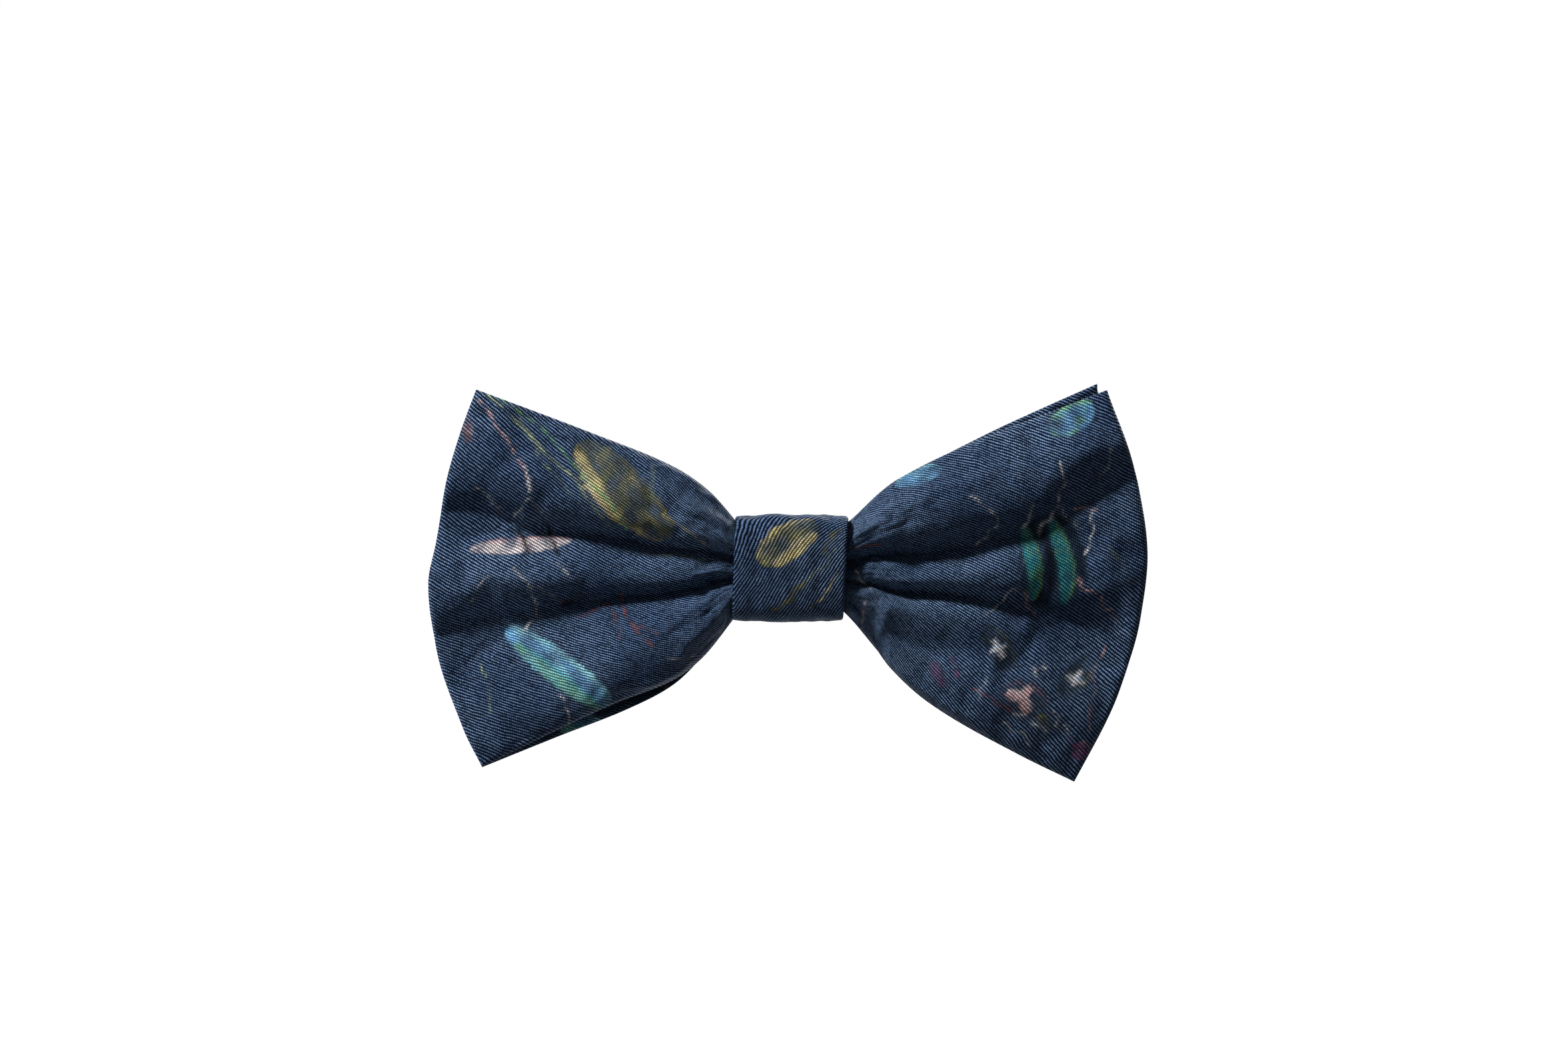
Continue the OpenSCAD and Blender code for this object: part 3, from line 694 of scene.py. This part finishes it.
WING_STROKES = [
    (-50.6, 29, -30, 6.8, 0.5, 1.6, SAGE, 0.75),
    (-48.6, 28.4, -27, 6.2, 0.4, 2.6, GREEN, 0.6),
    (-52.2, 28.2, -42.6, 12.6, 0.45, 1, PINK, 0.6),
    (-46, 27.4, -34.4, 10, 0.35, -1, SAGE, 0.5),
    (-44.4, 17.6, -43.6, 12.2, 0.4, 0.6, BONE, 0.7),
    (-52.6, 14, -47.6, 8.2, 0.35, 0.5, BONE, 0.5),
    (-46.4, 0.6, -42, -6.4, 0.4, 0.7, BONE, 0.7),
    (-38.8, 1.4, -34.6, -2.4, 0.4, -0.4, BONE, 0.6),
    (-40.6, 8, -38.6, 2, 0.55, -0.3, INK_BLACK, 0.9),
    (-46.2, 7.6, -43.4, 2.4, 0.5, 0.4, INK_BLACK, 0.9),
    (-28, -4.2, -22.6, -13, 0.45, -1.2, RUST, 0.8),
    (-30.6, -5.6, -28.4, -12.4, 0.4, 0.6, RUST, 0.6),
    (-20.4, -15, -13.6, -15.4, 0.4, 0.3, BONE, 0.6),
    (-52.8, -14, -50, -24.6, 0.35, 0.9, SAGE, 0.6),
    (-38.6, -20.6, -36.8, -26, 0.4, 0.4, BONE, 0.6),
    (-21.6, 9, -13.8, 3.6, 0.5, 0.6, GOLD, 0.5),
    (-24.6, 2.6, -14.4, 1.2, 0.5, 0.5, SAGE, 0.5),
    (10.4, 3.2, 15.4, 3.8, 0.5, 0.3, RUST, 0.8),
    (10.8, -0.2, 13.4, -3.4, 0.6, -0.4, BLUSH, 0.6),
    (29.4, 12.4, 34.8, 7.6, 0.4, 0.5, BONE, 0.7),
    (44.5, 18.2, 44.4, 10.6, 0.45, 0.6, BONE, 0.75),
    (40.2, 10.8, 38.4, 6.4, 0.4, 0.4, BONE, 0.6),
    (46.8, 9.8, 51.4, 9, 0.4, 0.5, PINK, 0.6),
    (47.4, -1.2, 51.6, -4.4, 0.5, -0.8, PINK, 0.7),
    (37.2, -3, 31.4, -8.2, 0.4, 0.8, BONE, 0.6),
    (52, 4.2, 56.2, -2.4, 0.35, 0.6, SAGE, 0.5),
    (40, -16.2, 41.2, -18.4, 0.6, 0, BONE, 0.8),
    (41.8, -15.6, 42.4, -17.8, 0.5, 0, BONE, 0.7),
    (12.6, -5, 11.4, -11, 0.6, 0.3, BLUSH, 0.55),
    (30.2, -19.8, 36.6, -24, 0.4, 0.4, RUST, 0.6),
    (52.4, -12.6, 49.8, -27, 0.35, -0.8, PINK, 0.5),
    (-43.6, 12.2, -46.4, 8.4, 0.35, 0.2, BONE, 0.55),
    (-43.6, 12.2, -40.6, 8.8, 0.35, -0.2, BONE, 0.5),
    (-42, -6.4, -44.8, -10.6, 0.35, 0.3, BONE, 0.55),
    (-42.6, -2.8, -38.2, -5.8, 0.35, 0.3, BONE, 0.5),
    (-49.8, -1, -53.4, -6.2, 0.35, -0.4, BONE, 0.5),
    (-30.4, -6, -35.6, -8.2, 0.35, 0.4, RUST, 0.6),
    (-25.6, -9.2, -21.8, -11, 0.35, 0.2, RUST, 0.55),
    (44.4, 10.6, 41.2, 5.6, 0.35, 0.3, BONE, 0.6),
    (44.4, 10.6, 48.8, 6.6, 0.35, -0.3, BONE, 0.55),
    (50, 9.4, 49, 2.2, 0.35, 0.5, BONE, 0.6),
    (51.6, -4.4, 54.6, -9.2, 0.35, -0.4, PINK, 0.55),
    (34.8, 7.6, 30.8, 3.4, 0.35, 0.3, BONE, 0.55),
    (37.2, -3, 41, -8.4, 0.35, 0.4, PINK, 0.5),
    (36.6, -24, 43, -27.8, 0.4, 0.5, BONE, 0.6),
    (43.4, -23.4, 46.6, -27.4, 0.35, -0.4, BONE, 0.6),
    (35.2, -25.4, 40.2, -29.6, 0.35, 0.3, BONE, 0.5),
    (33, -17.4, 31.2, -21.8, 0.35, -0.3, BONE, 0.5),
    (26.6, -14.4, 27.4, -18.8, 0.5, 0.3, PLUM, 0.7),
    (45.6, -28.2, 49.2, -30.8, 0.5, 0.3, PLUM, 0.7),
    (53.6, 20.4, 50.8, 13, 0.35, 0.5, BONE, 0.5),
]
# On the knot, from its middle: across it and up it
KNOT_LEAVES = [
    # the first leaf darkens the knot's lower left a little, in near black
    (-10, -7.6, 1, 1.6, 13, INK_BLACK, INK_BLACK, 0, 0.22),
    (-5.4, 1, 4.4, 8, 6.4, OLIVE, GOLD, 0.4, 0.9),
    (-2.8, 0.2, 4.6, 6, 2.2, GOLD, CREAM, 0.3, 0.85),
]
KNOT_STROKES = [
    (-3.3, -7.4, 3, -1.4, 0.7, -0.5, OLIVE, 0.8),
    (2.6, -2.2, 7.6, 3.6, 0.45, -0.3, SAGE, 0.6),
    (3.4, -6.9, 7.9, -0.6, 0.5, -0.5, GOLD, 0.6),
    (5.2, 2.4, 8.6, 7.2, 0.9, 0.4, OLIVE, 0.6),
]


# The least half width of a printed line, and half the width over which a shape's outline fades
FINEST_LINE, PRINT_EDGE = 0.27, 0.3
STROKE_STRENGTH = 1.5


def fade(value, low, high):
    """Smooth step of value from 0 at low to 1 at high."""
    t = np.clip((value - low) / (high - low), 0, 1)
    return t * t * (3 - 2 * t)


def beside(along, across, start, end):
    """Where cloth places lie by the line from start to end: 0 to 1 along it, and millimetres to its left."""
    way = np.subtract(end, start)
    length = math.hypot(*way)
    way = way / length
    off_along, off_across = along - start[0], across - start[1]
    return (off_along * way[0] + off_across * way[1]) / length, off_across * way[0] - off_along * way[1]


def lay(ink, tint, mask):
    """Prints a colour over the ink where mask says, and keeps how much of the navy it covers."""
    mask = mask[..., None]
    covered = np.concatenate([np.broadcast_to(tint[..., :3], ink[..., :3].shape), np.ones_like(mask)], -1)
    return ink * (1 - mask) + covered * mask


def printed(along, across, leaves, strokes):
    """The print's colour, and in alpha how strongly it covers the navy, at flat cloth places."""
    ink = np.zeros(along.shape + (4,))
    for k, (start, end, width, core, rim, veins, strength) in enumerate(leaves):
        way, off = beside(along, across, start, end)
        middle = 2 * way - 1
        girth = np.sqrt(np.clip(1 - middle ** 2, 1e-4, 1)) * width / 2
        share = off / girth + 0.06 * waves(along, across, 1.8, 100 + k)
        inside = fade(girth * (1 - np.abs(share)), -PRINT_EDGE, PRINT_EDGE) * fade(np.abs(middle), 1.0, 0.95)
        streak = fade(waves(way * 3, off * 2.0, 1.2, 200 + k), 0.2, 1.0)
        edge = fade(share, 0.4, 0.9)
        tint = mix(np.array(core), np.array(rim), np.maximum(edge, streak * veins)[..., None])
        patchy = 0.82 + 0.18 * waves(along, across, 4, 300 + k)
        ink = lay(ink, tint, np.clip(inside * patchy * strength, 0, 1))
    for k, (start, end, width, bow, core, strength) in enumerate(strokes):
        way, off = beside(along, across, start, end)
        arch = 4 * way * (1 - way)
        line = arch * (bow + 0.35 * waves(way * 10, way, 4, 400 + k))
        thick = np.maximum(width * (0.35 + 0.35 * np.clip(arch, 0, 1)), FINEST_LINE)
        worn = 0.85 + 0.35 * waves(along, across, 2.4, 500 + k)
        mask = np.exp(-((off - line) / thick) ** 2) * (way > 0) * (way < 1)
        mask = mask * worn * strength * STROKE_STRENGTH
        ink = lay(ink, np.array(core), np.clip(mask, 0, 1))
    return ink


def on_cloth(shapes, cloth_at):
    """Printed shapes with their ends moved from front view places to flat cloth places."""
    return [(cloth_at(x, z), cloth_at(end_x, end_z), *rest) for x, z, end_x, end_z, *rest in shapes]


def print_on(piece, along, across, leaves, strokes):
    """Gives a piece's points, on each of its sides, the print's ink."""
    ink = printed(along, across, leaves, strokes).reshape(-1, 4)
    sides = len(piece.data.vertices) // len(ink)
    layer = piece.data.attributes.new("ink", "FLOAT_COLOR", "POINT")
    layer.data.foreach_set("color", np.tile(ink, (sides, 1)).astype(np.float32).ravel())


def silk_material():
    material, g, shader = new_material("printed_silk")
    place = g.attribute("cloth")
    # thread is the twill's painted light: painted highlights on its floats and painted shade between its
    # ribs
    thread, relief = twill(g, place)
    cloud = g.noise(place, 0.05, 1, 0.4)
    ink = g.mix(g.step(cloud, 0.35, 0.7), NAVY_DEEP, NAVY)
    flecks = g.step(g.noise(place, 2.2, 1, 0.4), 0.7, 0.8, 0, 0.5)
    ink = g.mix(flecks, ink, FLECK)
    drawn = g.node("ShaderNodeAttribute", attribute_name="ink").outputs
    ink = g.mix(drawn["Alpha"], ink, drawn["Color"])
    # painted shade between the ribs: the ink darkened to near black
    gap = g.mix(1.0, ink, PAINTED_GAP_SHADE, "MULTIPLY")
    level = g.math("MULTIPLY_ADD", drawn["Alpha"], PRINT_SOAK, thread, clamp=True)
    height = g.math("ADD", relief, g.times(g.noise(place, 3.0, 2), 0.2))
    g.fill(shader, Base_Color=g.mix(level, gap, ink), Roughness=g.step(relief, 0, 1, 0.72, 0.42),
           Specular_IOR_Level=0.03, Sheen_Weight=0.03, Sheen_Roughness=0.3,
           Sheen_Tint=colour(160, 185, 215), Normal=g.bump(height, 0.16 * MM, 0.9))
    return material


# -------- build the bow

# How far in from its edge a bow reaches its full thickness, its seam's thickness, and the gap
# round its lining
EDGE_ROUND, SEAM, LINING_GAP = 0.9, 0.02, 0.05


def add_bow(bow, side, name):
    half = BOW_THICKNESS / 2 * bow.rim(EDGE_ROUND)

    def surface(height):
        return np.stack([bow.x, bow.y + side * height, bow.z], -1)

    def ply(piece, outer, inner, node, turned=1, moved=0):
        """turned is -1 for a ply whose print is upside down, and moved shifts it across."""
        grids = [surface(outer), surface(inner)]
        if side * np.mean(outer - inner) > 0:
            grids.reverse()
        along, across = bow.along, bow.across * turned + moved
        made = closed_sheet(piece, *grids, along, across, SILK)
        print_on(made, along, across, *WING_PRINT)
        fix_to_root(made, node)

    inside = np.minimum(np.maximum(half - SILK_T, SEAM), half)
    if side == FRONT:
        ply(name + "_face_silk", half, inside, name + "_face")
        ply(name + "_rear_silk", -half, -inside, name + "_backing", moved=14)
    else:
        ply(name + "_rear_silk", half, inside, name + "_backing", turned=-1)
        ply(name + "_face_silk", -half, -inside, name + "_face", moved=9)
    core = np.maximum(inside - LINING_GAP, SEAM / 2)
    grids = [surface(core), surface(-core)]
    if side == BACK:
        grids.reverse()
    lining = closed_sheet(name + "_lining", *grids, bow.along, bow.across, LINING)
    fix_to_root(lining, name + "_interlining")


# The linings' plain weave, in radians to a millimetre
WEAVE_PITCH = 2.2 * math.pi


def lining_material():
    material, g, shader = new_material("wool_interlining")
    place = g.attribute("cloth")
    warp = g.vector("DOT_PRODUCT", place, (WEAVE_PITCH, 0, 0))
    weft = g.vector("DOT_PRODUCT", place, (0, WEAVE_PITCH, 0))
    weave = g.times(g.math("SINE", warp), g.math("SINE", weft))
    shade = g.mix(g.step(weave, -1, 1), colour(176, 166, 146), colour(226, 219, 202))
    g.fill(shader, Base_Color=shade, Roughness=0.9, Normal=g.bump(weave, 0.15 * MM))
    return material


LINING = lining_material()
front_bow, back_bow = Bow(FRONT), Bow(BACK)
SILK = silk_material()
WING_PRINT = [on_cloth(shapes, front_bow.cloth_at) for shapes in (WING_LEAVES, WING_STROKES)]
add_bow(front_bow, FRONT, "front_bow")
add_bow(back_bow, BACK, "back_bow")


# Where the front of the knot lies along the cloth
KNOT_MIDDLE = 500.0
# The knot's left and right edges, each at the bottom and at the top
KNOT_LEFT, KNOT_RIGHT = (-9.75, -9.2), (8.8, 9.65)
# How square the loop is seen from the side: 2 is round. How far its front bulges, and its padding
KNOT_SQUARE = 3.6
KNOT_CROWN = 0.9
KNOT_PADDING = 1.7
# Soft folds down its front: the line from bottom (-1) to top (1), depth and half width
KNOT_FOLDS = [([(-6.5, -1), (-5.2, 0.2), (-5.8, 1)], 0.3, 0.9),
              ([(5.2, -1), (4.4, 0.1), (6.2, 1)], 0.22, 0.8)]
KNOT_STEPS = 200


def knot_cloth_at(x, z):
    return (KNOT_MIDDLE - z, x)


def strip_section(count, edge_round):
    """A flat strip's section as a ring: across from -1 to 1, and depth from 0 outside to -1 inside."""
    across = np.linspace(-1, 1, count)
    across = across + 0.13 * np.sin(math.pi * across)
    corner = np.clip((np.abs(across) - 1 + edge_round) / edge_round, 0, 1)
    sink = (1 - np.sqrt(1 - corner ** 2)) / 2
    return np.concatenate([across, across[::-1]]), np.concatenate([-sink, (sink - 1)[::-1]])


def knot_loop(name, material, grown, thickness, narrow, count=64):
    """A strip of cloth wound once round the gathered middle.

    grown is how far it lies outside the wrap, narrow how much it is cut back at each edge, and count
    how many points it has across.
    """
    turn = np.linspace(0, 2 * math.pi, KNOT_STEPS, endpoint=False)
    across, depth = strip_section(count, 0.05)
    turn, across = np.meshgrid(turn, across, indexing="ij")
    depth = np.broadcast_to(depth, across.shape)
    half = (KNOT_HIGH - KNOT_LOW) / 2
    cos, sin = np.cos(turn), np.sin(turn)
    r = (np.abs(cos) ** KNOT_SQUARE + np.abs(sin) ** KNOT_SQUARE) ** (-1 / KNOT_SQUARE)
    height = r * sin
    front = np.clip(-cos, 0, 1)
    left = mix(*KNOT_LEFT, (height + 1) / 2) + narrow
    right = mix(*KNOT_RIGHT, (height + 1) / 2) - narrow
    x = mix(left, right, (across + 1) / 2)
    crown = KNOT_CROWN * (1 - across ** 2) * (0.15 + 0.85 * front)
    creases = 0.12 * waves(turn * 2.5, x, 5, 31) + 0.06 * waves(turn * 6, x, 2.6, 32)
    for line, deep, width in KNOT_FOLDS:
        creases -= deep * np.exp(-(line_distance(x, height, line)[0] / width) ** 2) * front
    off = grown + thickness * depth + crown + creases * (1 - across ** 8)
    y = (KNOT_HIGH[1] + KNOT_LOW[1]) / 2 + (half[1] - KNOT_CROWN + off) * r * cos
    z = (half[2] + off) * r * sin
    points = np.stack([x, y, z], -1)
    index = np.arange(x.size).reshape(x.shape)
    beside_it, after = np.roll(index, -1, 1), np.roll(index, -1, 0)
    faces = np.stack([index, beside_it, np.roll(beside_it, -1, 0), after], -1).reshape(-1, 4)
    path = points[:, count // 2, 1:]
    run = np.concatenate([[0], np.cumsum(np.linalg.norm(np.diff(path, axis=0), axis=-1))])
    along = np.broadcast_to((run + KNOT_MIDDLE - run[len(run) // 2])[:, None], x.shape)
    # the silk is drawn together over the knot's top, which turns its ribs
    drawn = 1 - 0.4 * np.clip(height, 0, 1) ** 2
    flat = np.stack([along, x * drawn, np.zeros_like(x)], -1)
    return make_piece(name, points, faces.tolist(), flat, material), along, x


def add_knot():
    silk, along, across = knot_loop("knot_silk", SILK, grown=0.0, thickness=0.8, narrow=0.0)
    shapes = (on_cloth(shapes, knot_cloth_at) for shapes in (KNOT_LEAVES, KNOT_STROKES))
    print_on(silk, along, across, *shapes)
    fix_to_root(silk, "knot_wrap")
    lining, _, _ = knot_loop("knot_lining", LINING, grown=-0.9, thickness=KNOT_PADDING, narrow=0.5, count=24)
    fix_to_root(lining, "knot_interlining")


add_knot()


# -------- clip, springs and threads

# The springs' wire and turns, and the radius and half length of the stitches' threads
SPRING_WIRE, SPRING_TURNS = 0.45, 4
STITCH_THREAD, STITCH_HALF = 0.16, 1.2


def metal_material(name, bright, dull, rough, grain):
    """Plated or drawn metal, brushed along grain, with dull patches and fine scratches."""
    material, g, shader = new_material(name)
    place = g.object_place()
    brushed = g.noise(g.vector("MULTIPLY", place, grain), 1.0, 3, 0.6)
    patches = g.noise(place, 1.1, 4, 0.7)
    scratches = g.step(g.noise(g.vector("MULTIPLY", place, (1.2, 9, 0.5)), 1.0, 2, 0.5), 0.66, 0.72)
    worn = g.math("MAXIMUM", g.step(patches, 0.45, 0.9, 0, 0.5), g.times(scratches, 0.6))
    height = g.math("ADD", brushed, g.times(scratches, -0.6))
    g.fill(shader, Base_Color=g.mix(worn, bright, dull), Metallic=1.0,
           Roughness=g.math("MULTIPLY_ADD", g.math("ADD", brushed, worn), 0.16, rough),
           Normal=g.bump(height, 0.02 * MM, 0.7))
    return material


def rubber_material():
    material, g, shader = new_material("grip_rubber")
    place = g.object_place()
    grain = g.noise(place, 5.0, 3, 0.6)
    dust = g.step(g.noise(place, 0.8, 4, 0.7), 0.5, 0.75)
    g.fill(shader, Base_Color=g.mix(dust, colour(34, 34, 36), colour(70, 68, 66)),
           Roughness=g.step(grain, 0.2, 0.8, 0.62, 0.85), Normal=g.bump(grain, 0.05 * MM, 0.6))
    return material


def thread_material(name, dark, light):
    """Twisted thread on a tube's own coordinates: fibres slant across each strand."""
    material, g, shader = new_material(name)
    place = g.attribute("cloth")
    fibre = g.noise(g.vector("MULTIPLY", place, (2.5, 14, 1)), 1.0, 2, 0.6)
    fuzz = g.noise(place, 6.0, 2)
    g.fill(shader, Base_Color=g.mix(g.step(fibre, 0.3, 0.7), dark, light),
           Roughness=g.step(fuzz, 0.2, 0.8, 0.6, 0.85), Normal=g.bump(fibre, 0.04 * MM, 0.8))
    return material


def tube(name, paths, radius, material, sides=12, strands=0, twist=1.2):
    """A round wire or thread along each path. Its strands are wound round each other, once every twist."""
    points, faces, flat = [], [], []
    angle = np.linspace(0, 2 * math.pi, sides, endpoint=False)
    for path in paths:
        path = np.array(path, float)
        way = np.gradient(path, axis=0)
        way /= np.linalg.norm(way, axis=1, keepdims=True)
        run = np.concatenate([[0], np.cumsum(np.linalg.norm(np.diff(path, axis=0), axis=1))])
        side = np.cross(way[0], (0.31, 0.23, 0.92))
        first = len(points)
        for k, (centre, forward) in enumerate(zip(path, way)):
            side = side - forward * side.dot(forward)
            side /= np.linalg.norm(side)
            up = np.cross(forward, side)
            lobes = np.abs(np.cos(strands / 2 * angle - math.pi * run[k] / twist))
            ring = radius * (0.78 + 0.22 * lobes)[:, None] if strands else radius
            points.extend(centre + ring * (np.outer(np.cos(angle), side) + np.outer(np.sin(angle), up)))
            turned = (angle - 2 * math.pi * run[k] / (twist * max(strands, 1))) * radius
            flat.extend(np.stack([np.full(sides, run[k]), turned, np.zeros(sides)], 1))
            if k:
                here = first + k * sides
                for j in range(sides):
                    after = (j + 1) % sides
                    faces.append((here - sides + j, here - sides + after, here + after, here + j))
        faces.append(tuple(range(first, first + sides))[::-1])
        faces.append(tuple(range(len(points) - sides, len(points))))
    return make_piece(name, points, faces, flat, material)


def finish_node(node, material, rounded=0.0):
    """Gives a CAD node its finish, and rounds its sharp edges where rounded is a radius."""
    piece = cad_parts[node]
    for slot in piece.material_slots:
        slot.material = material
    if rounded:
        weld = piece.modifiers.new("weld", "WELD")
        weld.merge_threshold = 0.001 * MM
        bevel = piece.modifiers.new("rounded edges", "BEVEL")
        bevel.width = rounded * MM
        bevel.segments = 3
        bevel.limit_method = "ANGLE"
        bevel.angle_limit = math.radians(35)
        piece.modifiers.new("normals", "WEIGHTED_NORMAL")


def box_of(node):
    return [np.array(corner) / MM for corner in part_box(node)]


def add_spring(side, wing):
    """A torsion spring round its hinge pin: a leg on the plate, the coil, and a leg under the finger tab."""
    low, high = box_of(side + "_jaw_spring")
    pin = sum(box_of(side + "_hinge_pin")) / 2
    r = SPRING_WIRE / 2
    near, far = sorted((abs(low[0]), abs(high[0])))
    leg = wing * (near - abs(pin[0]))
    coil = far - abs(pin[0]) - r
    reach = high[2] - r
    foot, top = low[1] + r - pin[1], high[1] - r - pin[1]
    turns = SPRING_TURNS + 0.5
    turn = np.linspace(0, 1, 28 * SPRING_TURNS)
    angle = 2 * math.pi * turns * turn - math.pi / 2
    wound = np.stack([wing * coil * np.cos(angle), coil * np.sin(angle), mix(-reach, reach, turn)], 1)
    out = np.linspace(1, 0, 14)[:-1, None]
    first = mix(wound[0], np.array([leg, foot, -reach]), out)
    last = mix(wound[-1], np.array([leg, top, reach]), out[::-1])
    path = np.concatenate([first, wound, last]) + pin
    for _ in range(3):
        smooth(path)
    spring = tube(side + "_jaw_spring_wire", [path], r, SPRING_STEEL, sides=14)
    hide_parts(side + "_jaw_spring")
    ends = [tuple((pin + (0, 0, z * reach)) * MM) for z in (-0.9, 0.9)]
    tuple(ends[0])
    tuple(ends[1])
    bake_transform(spring)


def add_clip_stitches():
    """Each stitch is three passes of doubled thread through its two holes and over the plate's back."""
    low, high = box_of("clip_stitches")
    half_x, half_z = (high[0] - low[0]) / 2, (high[2] - low[2]) / 2
    step = half_x - STITCH_HALF - STITCH_THREAD
    paths = []
    random = np.random.default_rng(5)
    for x in (-step, 0, step):
        for z in (-1, 1):
            for k in (-1, 0, 1):
                shift = 0.2 * k + random.uniform(-0.04, 0.04)
                rise = high[1] - STITCH_THREAD + 0.08 * (1 - abs(k)) + random.uniform(0, 0.04)
                angle = np.linspace(0, math.pi, 26)
                arch_x = -STITCH_HALF * np.sign(np.cos(angle)) * np.abs(np.cos(angle)) ** 0.45
                arch_y = low[1] + (rise - low[1]) * np.abs(np.sin(angle)) ** 0.45
                place_z = z * (half_z - STITCH_THREAD) + shift * np.sin(angle) + 0.08 * k
                paths.append(np.stack([x + arch_x, arch_y, place_z], 1))
    stitches = tube("clip_stitch_threads", paths, STITCH_THREAD, THREAD, strands=2, twist=0.9)
    fix_to_root(stitches, "clip_stitches")


NICKEL = metal_material("nickel_plate", colour(176, 173, 167), colour(132, 129, 124), 0.22, (0.5, 7, 7))
PIN_STEEL = metal_material("pin_steel", colour(176, 177, 180), colour(140, 140, 143), 0.2, (7, 7, 0.5))
SPRING_STEEL = metal_material("spring_steel", colour(150, 152, 157), colour(100, 100, 104), 0.22, (5, 5, 5))
RUBBER = rubber_material()
THREAD = thread_material("navy_thread", colour(20, 26, 40), colour(62, 74, 98))
finish_node("clip_plate", NICKEL, 0.14)
finish_node("gather_binding", THREAD)
finish_node("knot_seam_stitches", THREAD)
for side, wing in (("left", LEFT), ("right", RIGHT)):
    finish_node(side + "_hinge_pin", PIN_STEEL, 0.12)
    finish_node(side + "_jaw", NICKEL, 0.14)
    finish_node(side + "_grip_pad", RUBBER, 0.1)
    add_spring(side, wing)
add_clip_stitches()


# -------- view transform

bpy.context.scene.view_settings.view_transform = "Standard"
